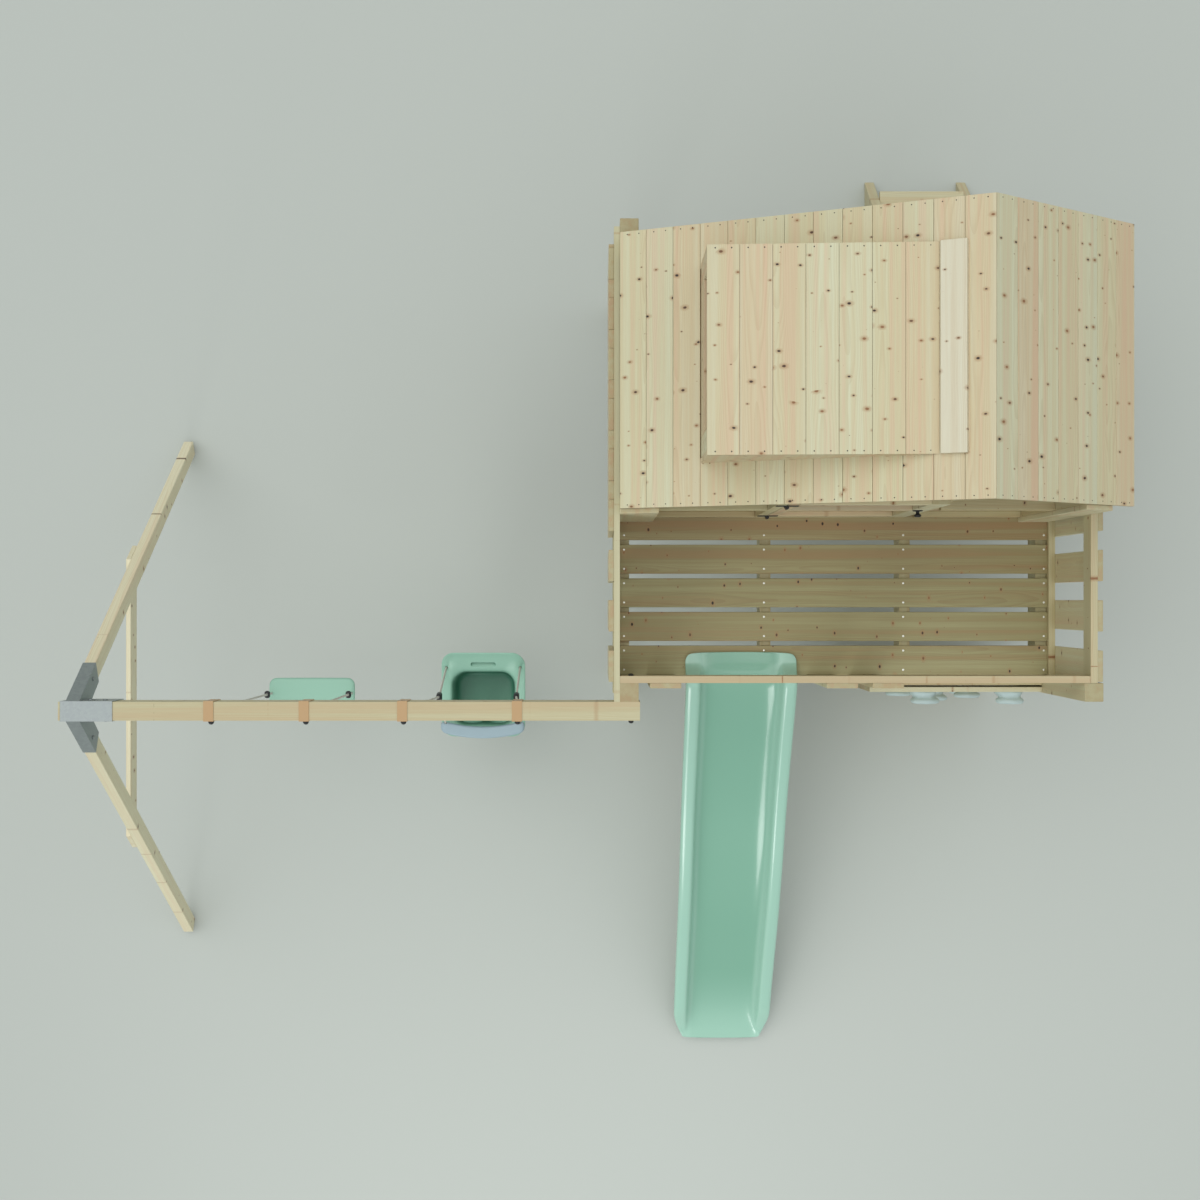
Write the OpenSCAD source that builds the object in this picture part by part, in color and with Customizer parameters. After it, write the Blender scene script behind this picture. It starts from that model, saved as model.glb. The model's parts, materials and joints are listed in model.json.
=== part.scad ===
// Timber play tower with a small house, a slide, a climbing wall, a ladder and a two-seat swing arm.
// All lengths in millimetres. +Z is up. The origin is the centre of the south-west post's foot.

/* [Tower] */
// Outside width of the square tower
tower_w = 1800; // [1500:10:2100]
// Side of a square corner post
post_w = 70; // [60:1:100]
// Height of the posts, top rails, pickets and swing beam
post_h = 1800; // [1600:10:2000]
// Height of the deck surface
deck_h = 1200; // [1000:10:1400]
// Deck board thickness
deck_t = 22; // [18:1:30]
// Deck board width
deck_bw = 118.5; // [90:0.5:140]
// Deck board spacing, centre to centre
deck_pitch = 137.3; // [110:0.1:160]
// Joist and rim height
joist_h = 120; // [90:5:150]
// Width of stud and joist timber
stud = 45; // [38:1:50]

/* [Railing] */
// Thickness of the rails
rail_t = 26; // [20:1:30]
// Height of the rails
rail_h = 95; // [70:5:120]
// Picket width
picket_w = 117; // [80:1:140]
// Picket spacing, centre to centre
picket_pitch = 187.5; // [150:0.5:240]
// Picket and cladding thickness
clad_t = 20; // [16:1:24]

/* [House] */
// Roof board thickness
roof_t = 18; // [15:1:24]
// Height of the roof surface at the west eave
eave_w_z = 1886; // [1860:1:1950]
// Height of the ridge
ridge_z = 2485; // [2300:5:2600]
// Height of the roof surface at the east eave
eave_e_z = 2015; // [1950:5:2150]

/* [Swing arm] */
// Length of the swing beam
beam_len = 2166; // [1800:1:2600]
// Height of the swing beam section
beam_h = 120; // [90:5:140]
// Rope diameter
rope_d = 10; // [8:1:14]
// Seat height of the flat swing
seat_z = 600; // [400:10:700]

/* [Slide] */
// Slide width over the sides
slide_w = 453; // [400:1:520]
// Height of the slide sides above the bed
slide_side = 75; // [50:5:120]

/* [Ladder] */
// Number of ladder treads
treads = 5; // [4:1:6]

/* [Hidden] */
hp = post_w / 2;
pe = tower_w - post_w;
x_w = -hp;
x_e = pe - 13;
y_s = hp;
y_n = pe - hp;
under = deck_h - deck_t;
jb = under - joist_h;
ridge_x = 1205;
eave_wx = -36;
eave_ex = 1811;
roof_y0 = 680;
roof_y1 = 1694;
tw = (ridge_z - eave_w_z) / (ridge_x - eave_wx);
te = (ridge_z - eave_e_z) / (eave_ex - ridge_x);
aw = atan(tw);
ae = atan(te);
dorm_y0 = 835;
dorm_y1 = 1549;
dorm_x0 = 253.5;
dorm_x1 = 1036;
dorm_z0 = 2353;
dorm_z1 = zw(1036);
td = (dorm_z1 - dorm_z0) / (dorm_x1 - dorm_x0);
beam_yc = -post_w;
beam_x0 = 40 - beam_len;
beam_z0 = post_h - beam_h;
piv_z = beam_z0 - 32;
leg_x0 = -2097;
leg_x1 = -2052;
leg_t = 1.5417;
bolt_z = [1728, 1776];
hang_x = [-1566, -1211, -845, -418];
baby_x = (hang_x[2] + hang_x[3]) / 2;
split_z = 880;
rim_z = 530;
door_x0 = 559;
door_x1 = 1128;
door_z0 = 1265;
door_z1 = 2125;
pin_x = 557;
pin_y = 672;
slide_x0 = 238;
lad_x0 = 1160;
lad_x1 = 1643;

function zw(x) = eave_w_z + (x - eave_wx) * tw;
function ze(x) = ridge_z - (x - ridge_x) * te;
function uw(x) = zw(x) - roof_t / cos(aw);
function ue(x) = ze(x) - roof_t / cos(ae);
function zd(x) = dorm_z0 + (x - dorm_x0) * td;
function ud(x) = zd(x) - roof_t * sqrt(1 + td * td);

// A box given by its six limits
module box(x0, x1, y0, y1, z0, z1) {
  translate([x0, y0, z0])
    cube([x1 - x0, y1 - y0, z1 - z0]);
}

// A flat shape drawn in X and Z, and carried along Y
module along_y(pts, y0, y1) {
  translate([0, y1, 0])
    rotate([90, 0, 0])
      linear_extrude(height = y1 - y0)
        polygon(pts);
}

// A flat shape drawn in Y and Z, and carried along X
module along_x(pts, x0, x1) {
  translate([x0, 0, 0])
    rotate([90, 0, 90])
      linear_extrude(height = x1 - x0)
        polygon(pts);
}

// A round rod between two points
module rod(a, b, d) {
  v = b - a;
  translate(a)
    rotate([0, acos(v[2] / norm(v)), atan2(v[1], v[0])])
      cylinder(h = norm(v), d = d, $fn = 24);
}

module post(x, y) {
  color("wheat")
    translate([x - hp, y - hp, 0])
      cube([post_w, post_w, post_h]);
}

module post_sw() {
  color("wheat")
    difference() {
      box(-hp, hp, -hp, hp, 0, post_h);
      for (z = bolt_z)
        translate([7, -hp - 1, z])
          rotate([-90, 0, 0])
            cylinder(h = post_w + 2, d = 10.2, $fn = 24);
    }
}

module post_se() {
  post(pe, 0);
}

module post_nw() {
  post(0, pe);
}

module post_ne() {
  post(pe, pe);
}

module joists() {
  color("burlywood")
    for (x = [x_w, 544, 1114, x_e - stud])
      box(x, x + stud, y_s + rail_t, y_n - rail_t, jb, under);
}

module rims() {
  color("burlywood") {
    box(x_w + 0.5, x_e - 0.5, y_s, y_s + rail_t, jb, under);
    box(x_w + 0.5, 1159, y_n - rail_t, y_n, jb, under);
    box(-57, x_w, -hp, pe + hp, 1100, 1220);
    box(x_e, x_e + rail_t, y_s, y_n, 1100, 1220);
  }
}

module hatch_trimmer() {
  color("burlywood")
    box(1159, x_e - stud, 1486, 1531, jb, under);
}

module deck_boards() {
  color("wheat")
    for (i = [0:11])
      box(x_w, i == 11 ? 1159 : x_e, 39.5 + i * deck_pitch, 39.5 + i * deck_pitch + deck_bw, under, deck_h);
}

module top_rails() {
  color("wheat") {
    box(-57, x_w, -hp, 1734, post_h - rail_h, post_h);
    box(x_e, x_e + rail_t, y_s, y_n, post_h - rail_h, post_h);
    difference() {
      box(x_w + 0.5, x_e - 0.5, y_s, y_s + rail_t, post_h - rail_h, post_h);
      for (z = bolt_z)
        translate([7, y_s - 1, z])
          rotate([-90, 0, 0])
            cylinder(h = rail_t + 2, d = 10.2, $fn = 24);
    }
    box(x_w + 0.5, 1159, y_n - rail_t, y_n, post_h - rail_h, post_h);
  }
}

module pickets_west() {
  color("wheat")
    for (i = [0:8])
      box(-57 - clad_t, -57, 39 + i * picket_pitch, 39 + i * picket_pitch + picket_w, 1100, post_h);
}

module pickets_east() {
  color("wheat")
    for (i = [0:8])
      box(x_e + rail_t, x_e + rail_t + clad_t, 39 + i * picket_pitch, 39 + i * picket_pitch + picket_w,
        1100, post_h);
}

// Boards that close the gaps between the pickets beside the house
module gap_boards(x0) {
  for (i = [3:8]) {
    y = 39 + i * picket_pitch + picket_w;
    box(x0, x0 + clad_t, y + 0.5, min(y + picket_pitch - picket_w - 0.5, 1669), 1100, post_h - 4);
  }
}

module wall_west() {
  color("wheat")
    gap_boards(-57 - clad_t);
}

module wall_east() {
  color("wheat")
    gap_boards(x_e + rail_t);
}

module pickets_south() {
  color("wheat")
    for (x = [77, 735, 906])
      box(x, x + picket_w, y_s - clad_t, y_s, jb, post_h);
}

module pickets_north() {
  color("wheat")
    for (i = [0:5])
      box(77 + i * picket_pitch, 77 + i * picket_pitch + picket_w, y_n, y_n + clad_t, jb, post_h);
}

module swing_beam() {
  color("wheat")
    difference() {
      box(beam_x0, 40, beam_yc - hp, -hp, beam_z0, post_h);
      for (z = bolt_z)
        translate([7, beam_yc - hp - 1, z])
          rotate([-90, 0, 0])
            cylinder(h = post_w + 2, d = 10.2, $fn = 24);
    }
}

// Round shank with a domed cap at each end
module beam_bolts() {
  color("black")
    for (z = bolt_z)
      translate([7, 0, z])
        rotate([-90, 0, 0]) {
          translate([0, 0, beam_yc - hp])
            cylinder(h = 2 * post_w + rail_t, d = 10, $fn = 24);
          translate([0, 0, hp + rail_t])
            cylinder(h = 7, d1 = 20, d2 = 13, $fn = 24);
          translate([0, 0, beam_yc - hp - 12])
            cylinder(h = 12, d1 = 13, d2 = 20, $fn = 24);
        }
}

// Distance of a leg's outer and inner edge from the beam's middle, and the height there
function d_out(z) = 1171.5 - (z - 38.1) / leg_t;
function leg_top(d) = 38.1 + (1171.5 - d) * leg_t;
function leg_low(d) = (1112.8 - d) * leg_t;

module leg(s) {
  d = hp + 4;
  color("wheat")
    along_x([[beam_yc + s * 1171.5, 38.1], [beam_yc + s * 1112.8, 0],
      [beam_yc + s * d, leg_low(d)], [beam_yc + s * d, leg_top(d)]], leg_x0, leg_x1);
}

module leg_north() {
  leg(1);
}

module leg_south() {
  leg(-1);
}

module leg_brace() {
  color("wheat")
    along_x([[beam_yc - d_out(845), 845], [beam_yc + d_out(845), 845],
      [beam_yc + d_out(940), 940], [beam_yc - d_out(940), 940]], leg_x0 - clad_t, leg_x0);
}

// Steel saddle over the beam end, with a folded sleeve down each leg
module beam_bracket() {
  color("silver") {
    box(beam_x0 + 8, -1923, beam_yc - hp - 3, beam_yc + hp + 3, post_h, post_h + 3);
    for (s = [-1, 1]) {
      y0 = beam_yc + s * hp;
      box(beam_x0 + 8, -1923, min(y0, y0 + s * 3), max(y0, y0 + s * 3), beam_z0 - 30, post_h + 3);
      for (x = [leg_x0 - 3, leg_x1])
        along_x([[y0, 1796], [beam_yc + s * 172, 1583], [beam_yc + s * 98, 1546], [y0, 1634]], x, x + 3);
      along_x([[y0, leg_top(hp) + 0.4], [beam_yc + s * (d_out(1583) + 0.3), 1583],
        [beam_yc + s * (d_out(1583) + 4), 1583], [y0, leg_top(hp) + 6]], leg_x0 - 3, leg_x1 + 3);
    }
  }
}

module bracket_bolts() {
  color("dimgray") {
    for (s = [-1, 1])
      for (x = [-1965, -2020])
        translate([x, beam_yc + s * (hp + 3), 1745])
          rotate([s * -90, 0, 0])
            cylinder(h = 6, d1 = 20, d2 = 12, $fn = 12);
    for (s = [-1, 1])
      for (e = [0, 1])
        translate([e == 0 ? leg_x0 - 3 : leg_x1 + 3, beam_yc + s * 112, 1620])
          rotate([0, e == 0 ? -90 : 90, 0])
            cylinder(h = 6, d1 = 20, d2 = 12, $fn = 12);
  }
}

// A band round the beam, with a forked lug and a cross pin below it
module hangers() {
  color("peru")
    for (x = hang_x) {
      difference() {
        box(x - 18.5, x + 18.5, beam_yc - hp - 3, beam_yc + hp + 3, beam_z0 - 3, post_h + 3);
        box(x - 20, x + 20, beam_yc - hp, beam_yc + hp, beam_z0, post_h);
      }
      for (s = [-1, 1])
        translate([x + s * 10 - 3, beam_yc, piv_z]) {
          rotate([0, 90, 0])
            cylinder(h = 6, d = 24, $fn = 24);
          translate([0, -12, 0])
            cube([6, 24, beam_z0 - 3 - piv_z]);
        }
      translate([x - 10, beam_yc, piv_z])
        rotate([0, 90, 0])
          cylinder(h = 20, d = 8, $fn = 24);
    }
}

module hanger_caps() {
  color("black")
    for (x = hang_x)
      translate([x, beam_yc - hp - 3, 1755])
        rotate([90, 0, 0])
          cylinder(h = 15, d1 = 22, d2 = 14, $fn = 24);
}

// Flat eye round a hanger pin
module eye(x) {
  translate([x - 6, beam_yc, piv_z])
    rotate([0, 90, 0])
      difference() {
        cylinder(h = 12, d = 22, $fn = 24);
        translate([0, 0, -1])
          cylinder(h = 14, d = 8.16, $fn = 24);
      }
}

module flat_ropes() {
  color("lightgray")
    for (i = [0, 1]) {
      eye(hang_x[i]);
      rod([hang_x[i], beam_yc, seat_z - 14], [hang_x[i], beam_yc, piv_z - 8], rope_d);
    }
}

module flat_adjusters() {
  color("black")
    for (i = [0, 1])
      difference() {
        box(hang_x[i] - 12, hang_x[i] + 12, beam_yc - 16, beam_yc + 16, seat_z + 90, seat_z + 112);
        translate([hang_x[i], beam_yc, seat_z])
          cylinder(h = 140, d = rope_d + 0.2, $fn = 24);
      }
}

// Plate with rounded corners
module plate(lx, ly, r, h) {
  translate([-lx / 2, -ly / 2 + r, 0])
    cube([lx, ly - 2 * r, h]);
  translate([-lx / 2 + r, -ly / 2, 0])
    cube([lx - 2 * r, ly, h]);
  for (sx = [-1, 1])
    for (sy = [-1, 1])
      translate([sx * (lx / 2 - r), sy * (ly / 2 - r), 0])
        cylinder(h = h, r = r, $fn = 32);
}

module flat_seat() {
  color("aquamarine")
    translate([(hang_x[0] + hang_x[1]) / 2, beam_yc, 0])
      difference() {
        translate([0, 0, seat_z - 14])
          plate(381, 138, 34, 14);
        for (s = [-1, 1])
          translate([s * (hang_x[1] - hang_x[0]) / 2, 0, seat_z - 15])
            cylinder(h = 16, d = rope_d + 0.2, $fn = 24);
      }
}

function corner(sx, sy) = [baby_x + sx * 165, sy > 0 ? 44 : -225, rim_z - 12];
function split(sx) = [baby_x + sx * 165, beam_yc, split_z];

module baby_seat() {
  color("aquamarine")
    difference() {
      union() {
        intersection() {
          translate([baby_x, -79, rim_z - 12])
            plate(376, 380, 60, 100);
          along_x([[-270, rim_z - 12], [62, rim_z - 12], [112, rim_z + 60], [112, rim_z + 76], [103, rim_z + 76],
            [52, rim_z], [-270, rim_z]], baby_x - 190, baby_x + 190);
        }
        translate([baby_x, beam_yc - 16, rim_z - 210])
          plate(310, 280, 70, 199);
      }
      translate([baby_x, beam_yc - 26, rim_z - 200])
        plate(270, 230, 60, 260);
      for (sx = [-1, 1])
        translate([baby_x + sx * 68, -160, rim_z - 128])
          rotate([90, 0, 0])
            cylinder(h = 120, d = 112, $fn = 32);
      for (sx = [-1, 1])
        for (sy = [-1, 1])
          translate([corner(sx, sy)[0], corner(sx, sy)[1], rim_z - 40])
            cylinder(h = 60, d = rope_d + 4, $fn = 24);
      translate([baby_x - 56, 50, rim_z + 10])
        cube([112, 70, 18]);
    }
}

// A point on a lower rope, a distance below the adjuster
function low_dir(sx, sy) = (corner(sx, sy) + [0, 0, 12] - split(sx)) / norm(corner(sx, sy) + [0, 0, 12] - split(sx));

module baby_ropes() {
  color("lightgray")
    for (sx = [-1, 1]) {
      x = sx < 0 ? hang_x[2] : hang_x[3];
      eye(x);
      rod(split(sx), [x, beam_yc, piv_z - 8], rope_d);
    }
}

// The four lower ropes, each with a knot under the rim
module baby_bridles() {
  color("lightgray")
    for (sx = [-1, 1])
      for (sy = [-1, 1]) {
        rod(corner(sx, sy) + [0, 0, 12], split(sx) + low_dir(sx, sy) * 17, rope_d);
        translate(corner(sx, sy))
          cylinder(h = 14, d = rope_d, $fn = 24);
        translate(corner(sx, sy) + [0, 0, -20])
          cylinder(h = 20, d = 24, $fn = 24);
      }
}

module baby_adjusters() {
  color("black")
    for (sx = [-1, 1])
      difference() {
        translate(split(sx) + [-12, -20, -26])
          cube([24, 40, 46]);
        for (sy = [-1, 1])
          rod(split(sx) + low_dir(sx, sy) * 17, corner(sx, sy) + [0, 0, 12], rope_d + 0.2);
        rod(split(sx), [sx < 0 ? hang_x[2] : hang_x[3], beam_yc, piv_z - 8], rope_d + 0.2);
      }
}

module baby_guard() {
  color("lavender")
    translate([baby_x, 0, 0])
      difference() {
        union() {
          translate([0, -216, rim_z + 30])
            plate(376, 44, 20, 26);
          translate([0, -248, rim_z + 30])
            plate(260, 50, 24, 26);
        }
        for (sx = [-1, 1])
          hull() {
            translate([sx * 165, -223, rim_z + 5])
              cylinder(h = 1, d = rope_d + 3, $fn = 24);
            translate([sx * 165, -180.9, rim_z + 100])
              cylinder(h = 1, d = rope_d + 3, $fn = 24);
          }
      }
}

// Smooth curve through the slide's control points
P = [[150, 1213], [133, 1213], [65, 1213], [5, 1206], [-110, 1130], [-330, 964], [-560, 806], [-800, 668],
  [-1040, 512], [-1270, 336], [-1450, 200], [-1580, 112], [-1680, 66], [-1744, 52], [-1790, 48]];
function cr(a, b, c, d, t) = 0.5 * ((2 * b) + (c - a) * t + (2 * a - 5 * b + 4 * c - d) * t * t
  + (3 * b - a - 3 * c + d) * t * t * t);
steps = 5;
bed = [for (i = [1:len(P) - 3]) for (k = [0:steps - 1]) cr(P[i - 1], P[i], P[i + 1], P[i + 2], k / steps)];
function off(d) = [for (p = bed) [p[0], max(0, p[1] + d)]];
function rev(v) = [for (i = [len(v) - 1:-1:0]) v[i]];
function wall(i) = slide_side * min(1, (bed[i][0] + 1745) / 200, (100 - bed[i][0]) / 60);
walls = [for (i = [0:len(bed) - 1]) if (bed[i][0] > -1735 && bed[i][0] < 95) [bed[i][0], bed[i][1] + wall(i)]];

slide_x1 = slide_x0 + slide_w;
slide_plan = [[slide_x0, -1605], [slide_x0 + 12, -1670], [slide_x0 + 46, -1735], [slide_x0 + 60, -1756],
  [slide_x1 - 60, -1756], [slide_x1 - 46, -1735], [slide_x1 - 12, -1670], [slide_x1, -1605],
  [slide_x1, 105], [slide_x1 - 28, 140], [slide_x0 + 28, 140], [slide_x0, 105]];
module slide() {
  color("mediumaquamarine")
    intersection() {
      linear_extrude(height = deck_h + 200)
        polygon(slide_plan);
      slide_shape();
    }
}

module slide_shape() {
  union() {
    along_x(concat(bed, rev(off(-8))), slide_x0 + 6, slide_x0 + slide_w - 6);
    for (x = [slide_x0, slide_x0 + slide_w - 58])
      along_x(concat(walls, rev([for (p = bed) if (p[0] > -1735 && p[0] < 95) [p[0], p[1] - 8]])), x, x + 58);
    box(slide_x0 + 6, slide_x0 + slide_w - 6, -1756, -1740, 0, 53);
  }
}

module climb_battens() {
  color("burlywood") {
    box(991, 1061, -11, 15, 30, deck_h);
    box(pe - hp - 70, pe - hp, -11, 15, 30, 1120);
    box(1061, pe - hp, -3, 15, 1105, deck_h);
  }
}

module climb_boards() {
  color("wheat")
    for (i = [0:8])
      box(991, pe - hp, -31, -11, 30 + i * 130.5, 30 + i * 130.5 + 126);
}

stone_pos = [[1221, 1134], [1572, 1136], [1300, 905], [1490, 700], [1215, 560], [1530, 395], [1290, 235]];
module climb_stones() {
  color("lightsteelblue")
    for (p = stone_pos)
      translate([p[0], -31, p[1]])
        rotate([90, 0, 0]) {
          cylinder(h = 27, d1 = 112, d2 = 90, $fn = 12);
          translate([10, -2, 27])
            cylinder(h = 25, d1 = 104, d2 = 112, $fn = 12);
        }
}

function lad_y(z) = 2349 - 0.72 * z;
module ladder_sides() {
  color("burlywood")
    for (x = [lad_x0, lad_x1 - stud])
      along_x([[1531, 1135], [1531, 973], [lad_y(0) - 117, 0], [lad_y(0), 0]], x, x + stud);
}

module ladder_treads() {
  color("wheat")
    for (i = [0:treads - 1]) {
      z = 150 + i * 205;
      box(lad_x0 + stud, lad_x1 - stud, lad_y(z) - 105, lad_y(z) + 22, z, z + 26);
    }
}

// Corner and jamb studs, each cut to the roof slope
module stud_w(x0, x1, y0, y1) {
  along_y([[x0, deck_h], [x1, deck_h], [x1, uw(x1) - 0.3], [x0, uw(x0) - 0.3]], y0, y1);
}

module stud_e(x0, x1, y0, y1) {
  along_y([[x0, deck_h], [x1, deck_h], [x1, ue(x1) - 0.3], [x0, ue(x0) - 0.3]], y0, y1);
}

module house_studs() {
  color("burlywood") {
    box(x_w, 10, 680, 725, deck_h, 1820);
    box(x_w, 10, 1624, 1668, deck_h, 1820);
    box(x_e - 45, x_e, 680, 725, deck_h, 2019);
    box(x_e - 45, x_e, 1624, 1668, under, 2019);
    stud_w(61, 106, 680, 725);
    stud_w(519, 555, 680, 725);
    stud_w(1132, 1168, 700, 725);
    stud_e(1596, 1641, 680, 725);
    stud_w(1114, 1159, 1624, 1668);
  }
}

module roof_plates() {
  color("burlywood") {
    box(x_w, 10, 680, 1668.5, 1820, 1865);
    box(x_e - 45, x_e, 680, 1668.5, 2019, 2064);
    box(1182, 1227, 725, 1669, 2375, 2444);
  }
}

module rafters() {
  color("burlywood") {
    for (y = [725, 808, 1531])
      along_y([[10, uw(10) - 78], [1182, uw(1182) - 78], [1182, uw(1182) - 0.2], [10, uw(10) - 0.2]], y, y + 45);
    along_y([[10, uw(10) - 78], [1182, uw(1182) - 78], [1182, uw(1182) - 0.2], [10, uw(10) - 0.2]], 1579, 1624);
    for (y = [725, 1140, 1579])
      along_y([[1227, ue(1227) - 0.2], [1227, ue(1227) - 88], [x_e - 45, ue(x_e - 45) - 88],
        [x_e - 45, ue(x_e - 45) - 0.2]], y, y + 45);
  }
}

// One roof board, given by where it starts and ends along the slope
nw = 13;
pw = (ridge_x - eave_wx) / nw;
module board_w(i, y0, y1) {
  x0 = eave_wx + i * pw;
  x1 = x0 + pw - 1;
  k = roof_t * sin(aw);
  e = i == nw - 1 ? -2.6 : k;
  along_y([[x0, zw(x0)], [x1, zw(x1)], [x1 + e, uw(x1 + e)], [x0 + k, uw(x0 + k)]], y0, y1);
}

module roof_west() {
  color("wheat")
    for (i = [0:nw - 1])
      if (i < 3 || i > 10)
        board_w(i, roof_y0, roof_y1);
      else {
        board_w(i, roof_y0, dorm_y0 + roof_t);
        board_w(i, dorm_y1 - roof_t, roof_y1);
      }
}

module roof_east() {
  n = 7;
  p = (eave_ex - ridge_x) / n;
  k = roof_t * sin(ae);
  color("wheat")
    for (i = [0:n - 1]) {
      x0 = ridge_x + i * p;
      x1 = x0 + p - 1;
      e = i == 0 ? -1.8 : -k;
      along_y([[x0, ze(x0)], [x1, ze(x1)], [x1 - k, ue(x1 - k)], [x0 + e, ue(x0 + e)]], roof_y0, roof_y1);
    }
}

module dormer_roof() {
  n = 7;
  xe = dorm_x1 - 5;
  xc = dorm_x1 - 61;
  p = (xe - dorm_x0) / n;
  color("wheat")
    for (i = [0:n - 1]) {
      x0 = dorm_x0 + i * p;
      x1 = x0 + p - 1;
      low = i < n - 1 ? [[x1, ud(x1)]] : [[x1, zw(x1) + 0.3], [xc, max(ud(xc), zw(xc) + 0.3)]];
      along_y(concat([[x0, zd(x0)], [x1, zd(x1)]], low, [[x0, ud(x0)]]), dorm_y0, dorm_y1);
    }
}

// A side wall each way down to the roof, with the front wall between them
module dormer_cheeks() {
  xm = dorm_x1 - 60;
  color("wheat")
    for (y = [dorm_y0, dorm_y1 - roof_t])
      along_y([[dorm_x0, zw(dorm_x0) + 0.3], [xm, zw(xm) + 0.3], [xm, ud(xm) - 0.3], [dorm_x0, ud(dorm_x0) - 0.3]],
        y, y + roof_t);
}

module dormer_front() {
  x1 = dorm_x0 + 36;
  y0 = dorm_y0 + roof_t + 0.3;
  y1 = dorm_y1 - roof_t - 0.3;
  foot = [[dorm_x0, zw(dorm_x0) + 0.3], [dorm_x0 + 6, zw(dorm_x0) + 0.3], [dorm_x0 + 6, 1975], [x1, 1975]];
  color("burlywood") {
    for (y = [y0, y1 - 72])
      along_y(concat(foot, [[x1, ud(x1) - 0.3], [dorm_x0, ud(dorm_x0) - 0.3]]), y, y + 72);
    along_y(concat(foot, [[x1, 2205], [dorm_x0, 2205]]), y0 + 72.3, y1 - 72.3);
  }
}

module dormer_head() {
  x0 = dorm_x1 - 4.5;
  x1 = dorm_x1 + 84;
  color("wheat")
    along_y([[x0, zw(x0) + 0.3], [x1, zw(x1) + 0.3], [x1 - 9, zw(x1) + 16], [x0, zw(x0) + 20]],
      dorm_y0, dorm_y1);
}

module front_trim() {
  color("wheat") {
    along_y([[x_w, deck_h], [106, deck_h], [106, uw(106)], [x_w, uw(x_w)]], 662, 680);
    along_y([[1596, deck_h], [x_e, deck_h], [x_e, ue(x_e)], [1596, ue(1596)]], 662, 680);
  }
}

module front_rails() {
  color("burlywood") {
    box(106, 519, 680, 705, deck_h, 1250);
    box(1168, 1596, 680, 705, deck_h, 1250);
    box(555, 1132, 680, 725, deck_h, 1250);
    box(106, 519, 680, 725, 1715, 1760);
    box(1168, 1596, 680, 725, 1715, 1760);
  }
}

module front_panels() {
  color("wheat") {
    for (i = [0:3])
      box(106 + i * 103.25, 106 + i * 103.25 + 101.5, 705, 725, deck_h, 1715);
    for (i = [0:3])
      box(1168 + i * 107, 1168 + i * 107 + 105.2, 705, 725, deck_h, 1715);
  }
}

// Upright boards that close the gable above the door and the east window
module gable_south() {
  color("wheat") {
    for (i = [0:4]) {
      x0 = 556 + i * 115.2;
      x1 = x0 + 113.4;
      along_y([[x0, 2133], [x1, 2133], [x1, uw(x1) - 0.3], [x0, uw(x0) - 0.3]], 705, 725);
    }
    for (i = [0:2]) {
      x0 = 1228 + i * 122.6;
      x1 = x0 + 121;
      along_y([[x0, 2133], [x1, 2133], [x1, ue(x1) - 0.3], [x0, ue(x0) - 0.3]], 705, 725);
    }
    along_y([[1168.5, 2133], [1226.5, 2133], [1226.5, ue(1226.5) - 0.3], [1203, uw(1203) - 0.9],
      [1168.5, uw(1168.5) - 0.3]], 705, 725);
  }
}

module gable_north() {
  color("wheat")
    for (i = [0:9]) {
      x0 = x_w + i * 119.4;
      x1 = x0 + 117.6;
      along_y([[x0, post_h], [x1, post_h], [x1, uw(x1) - 0.3], [x0, uw(x0) - 0.3]], 1669, 1687);
    }
}

module door_frame() {
  color("wheat") {
    box(door_x0, door_x0 + 40, 680, 700, door_z0, door_z1);
    box(door_x1 - 66, door_x1, 680, 700, door_z0, door_z1);
    box(door_x0 + 40, door_x1 - 66, 680, 700, 1715, 1760);
    box(door_x0 + 40, door_x1 - 66, 680, 700, door_z1 - 60, door_z1);
    box(door_x0 + 40, door_x1 - 66, 680, 700, door_z0, door_z0 + 60);
  }
}

module door_boards() {
  w = (door_x1 - door_x0) / 5;
  color("burlywood")
    for (i = [0:4])
      box(door_x0 + i * w, door_x0 + (i + 1) * w - 1.6, 700, 718, door_z0, 1760);
}

module door_knob() {
  color("black")
    translate([1081, 680, 1756])
      rotate([90, 0, 0]) {
        cylinder(h = 4, d = 38, $fn = 32);
        cylinder(h = 16, d = 13, $fn = 24);
        translate([0, 0, 14])
          cylinder(h = 12, d1 = 22, d2 = 28, $fn = 32);
      }
}

hinge_z = [1360, 2060];

// Leaf and two outer knuckles on the jamb, with the pin
module hinge_fixed() {
  color("black")
    for (z = hinge_z) {
      box(519, pin_x - 7, 677, 680, z - 20, z + 20);
      for (k = [-20, 8]) {
        translate([pin_x, pin_y, z + k])
          cylinder(h = 12, d = 12, $fn = 24);
        box(pin_x - 8, pin_x, pin_y, 679.5, z + k, z + k + 12);
      }
      translate([pin_x, pin_y, z - 22])
        cylinder(h = 44, d = 5, $fn = 24);
    }
}

// Leaf and middle knuckle on the door
module hinge_door() {
  color("black")
    for (z = hinge_z)
      difference() {
        union() {
          box(pin_x + 5, door_x0 + 40, 677, 680, z - 20, z + 20);
          box(pin_x, pin_x + 6, pin_y, 679.5, z - 7, z + 7);
          translate([pin_x, pin_y, z - 7])
            cylinder(h = 14, d = 12, $fn = 24);
        }
        translate([pin_x, pin_y, z - 30])
          cylinder(h = 60, d = 5.14, $fn = 24);
      }
}

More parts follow.
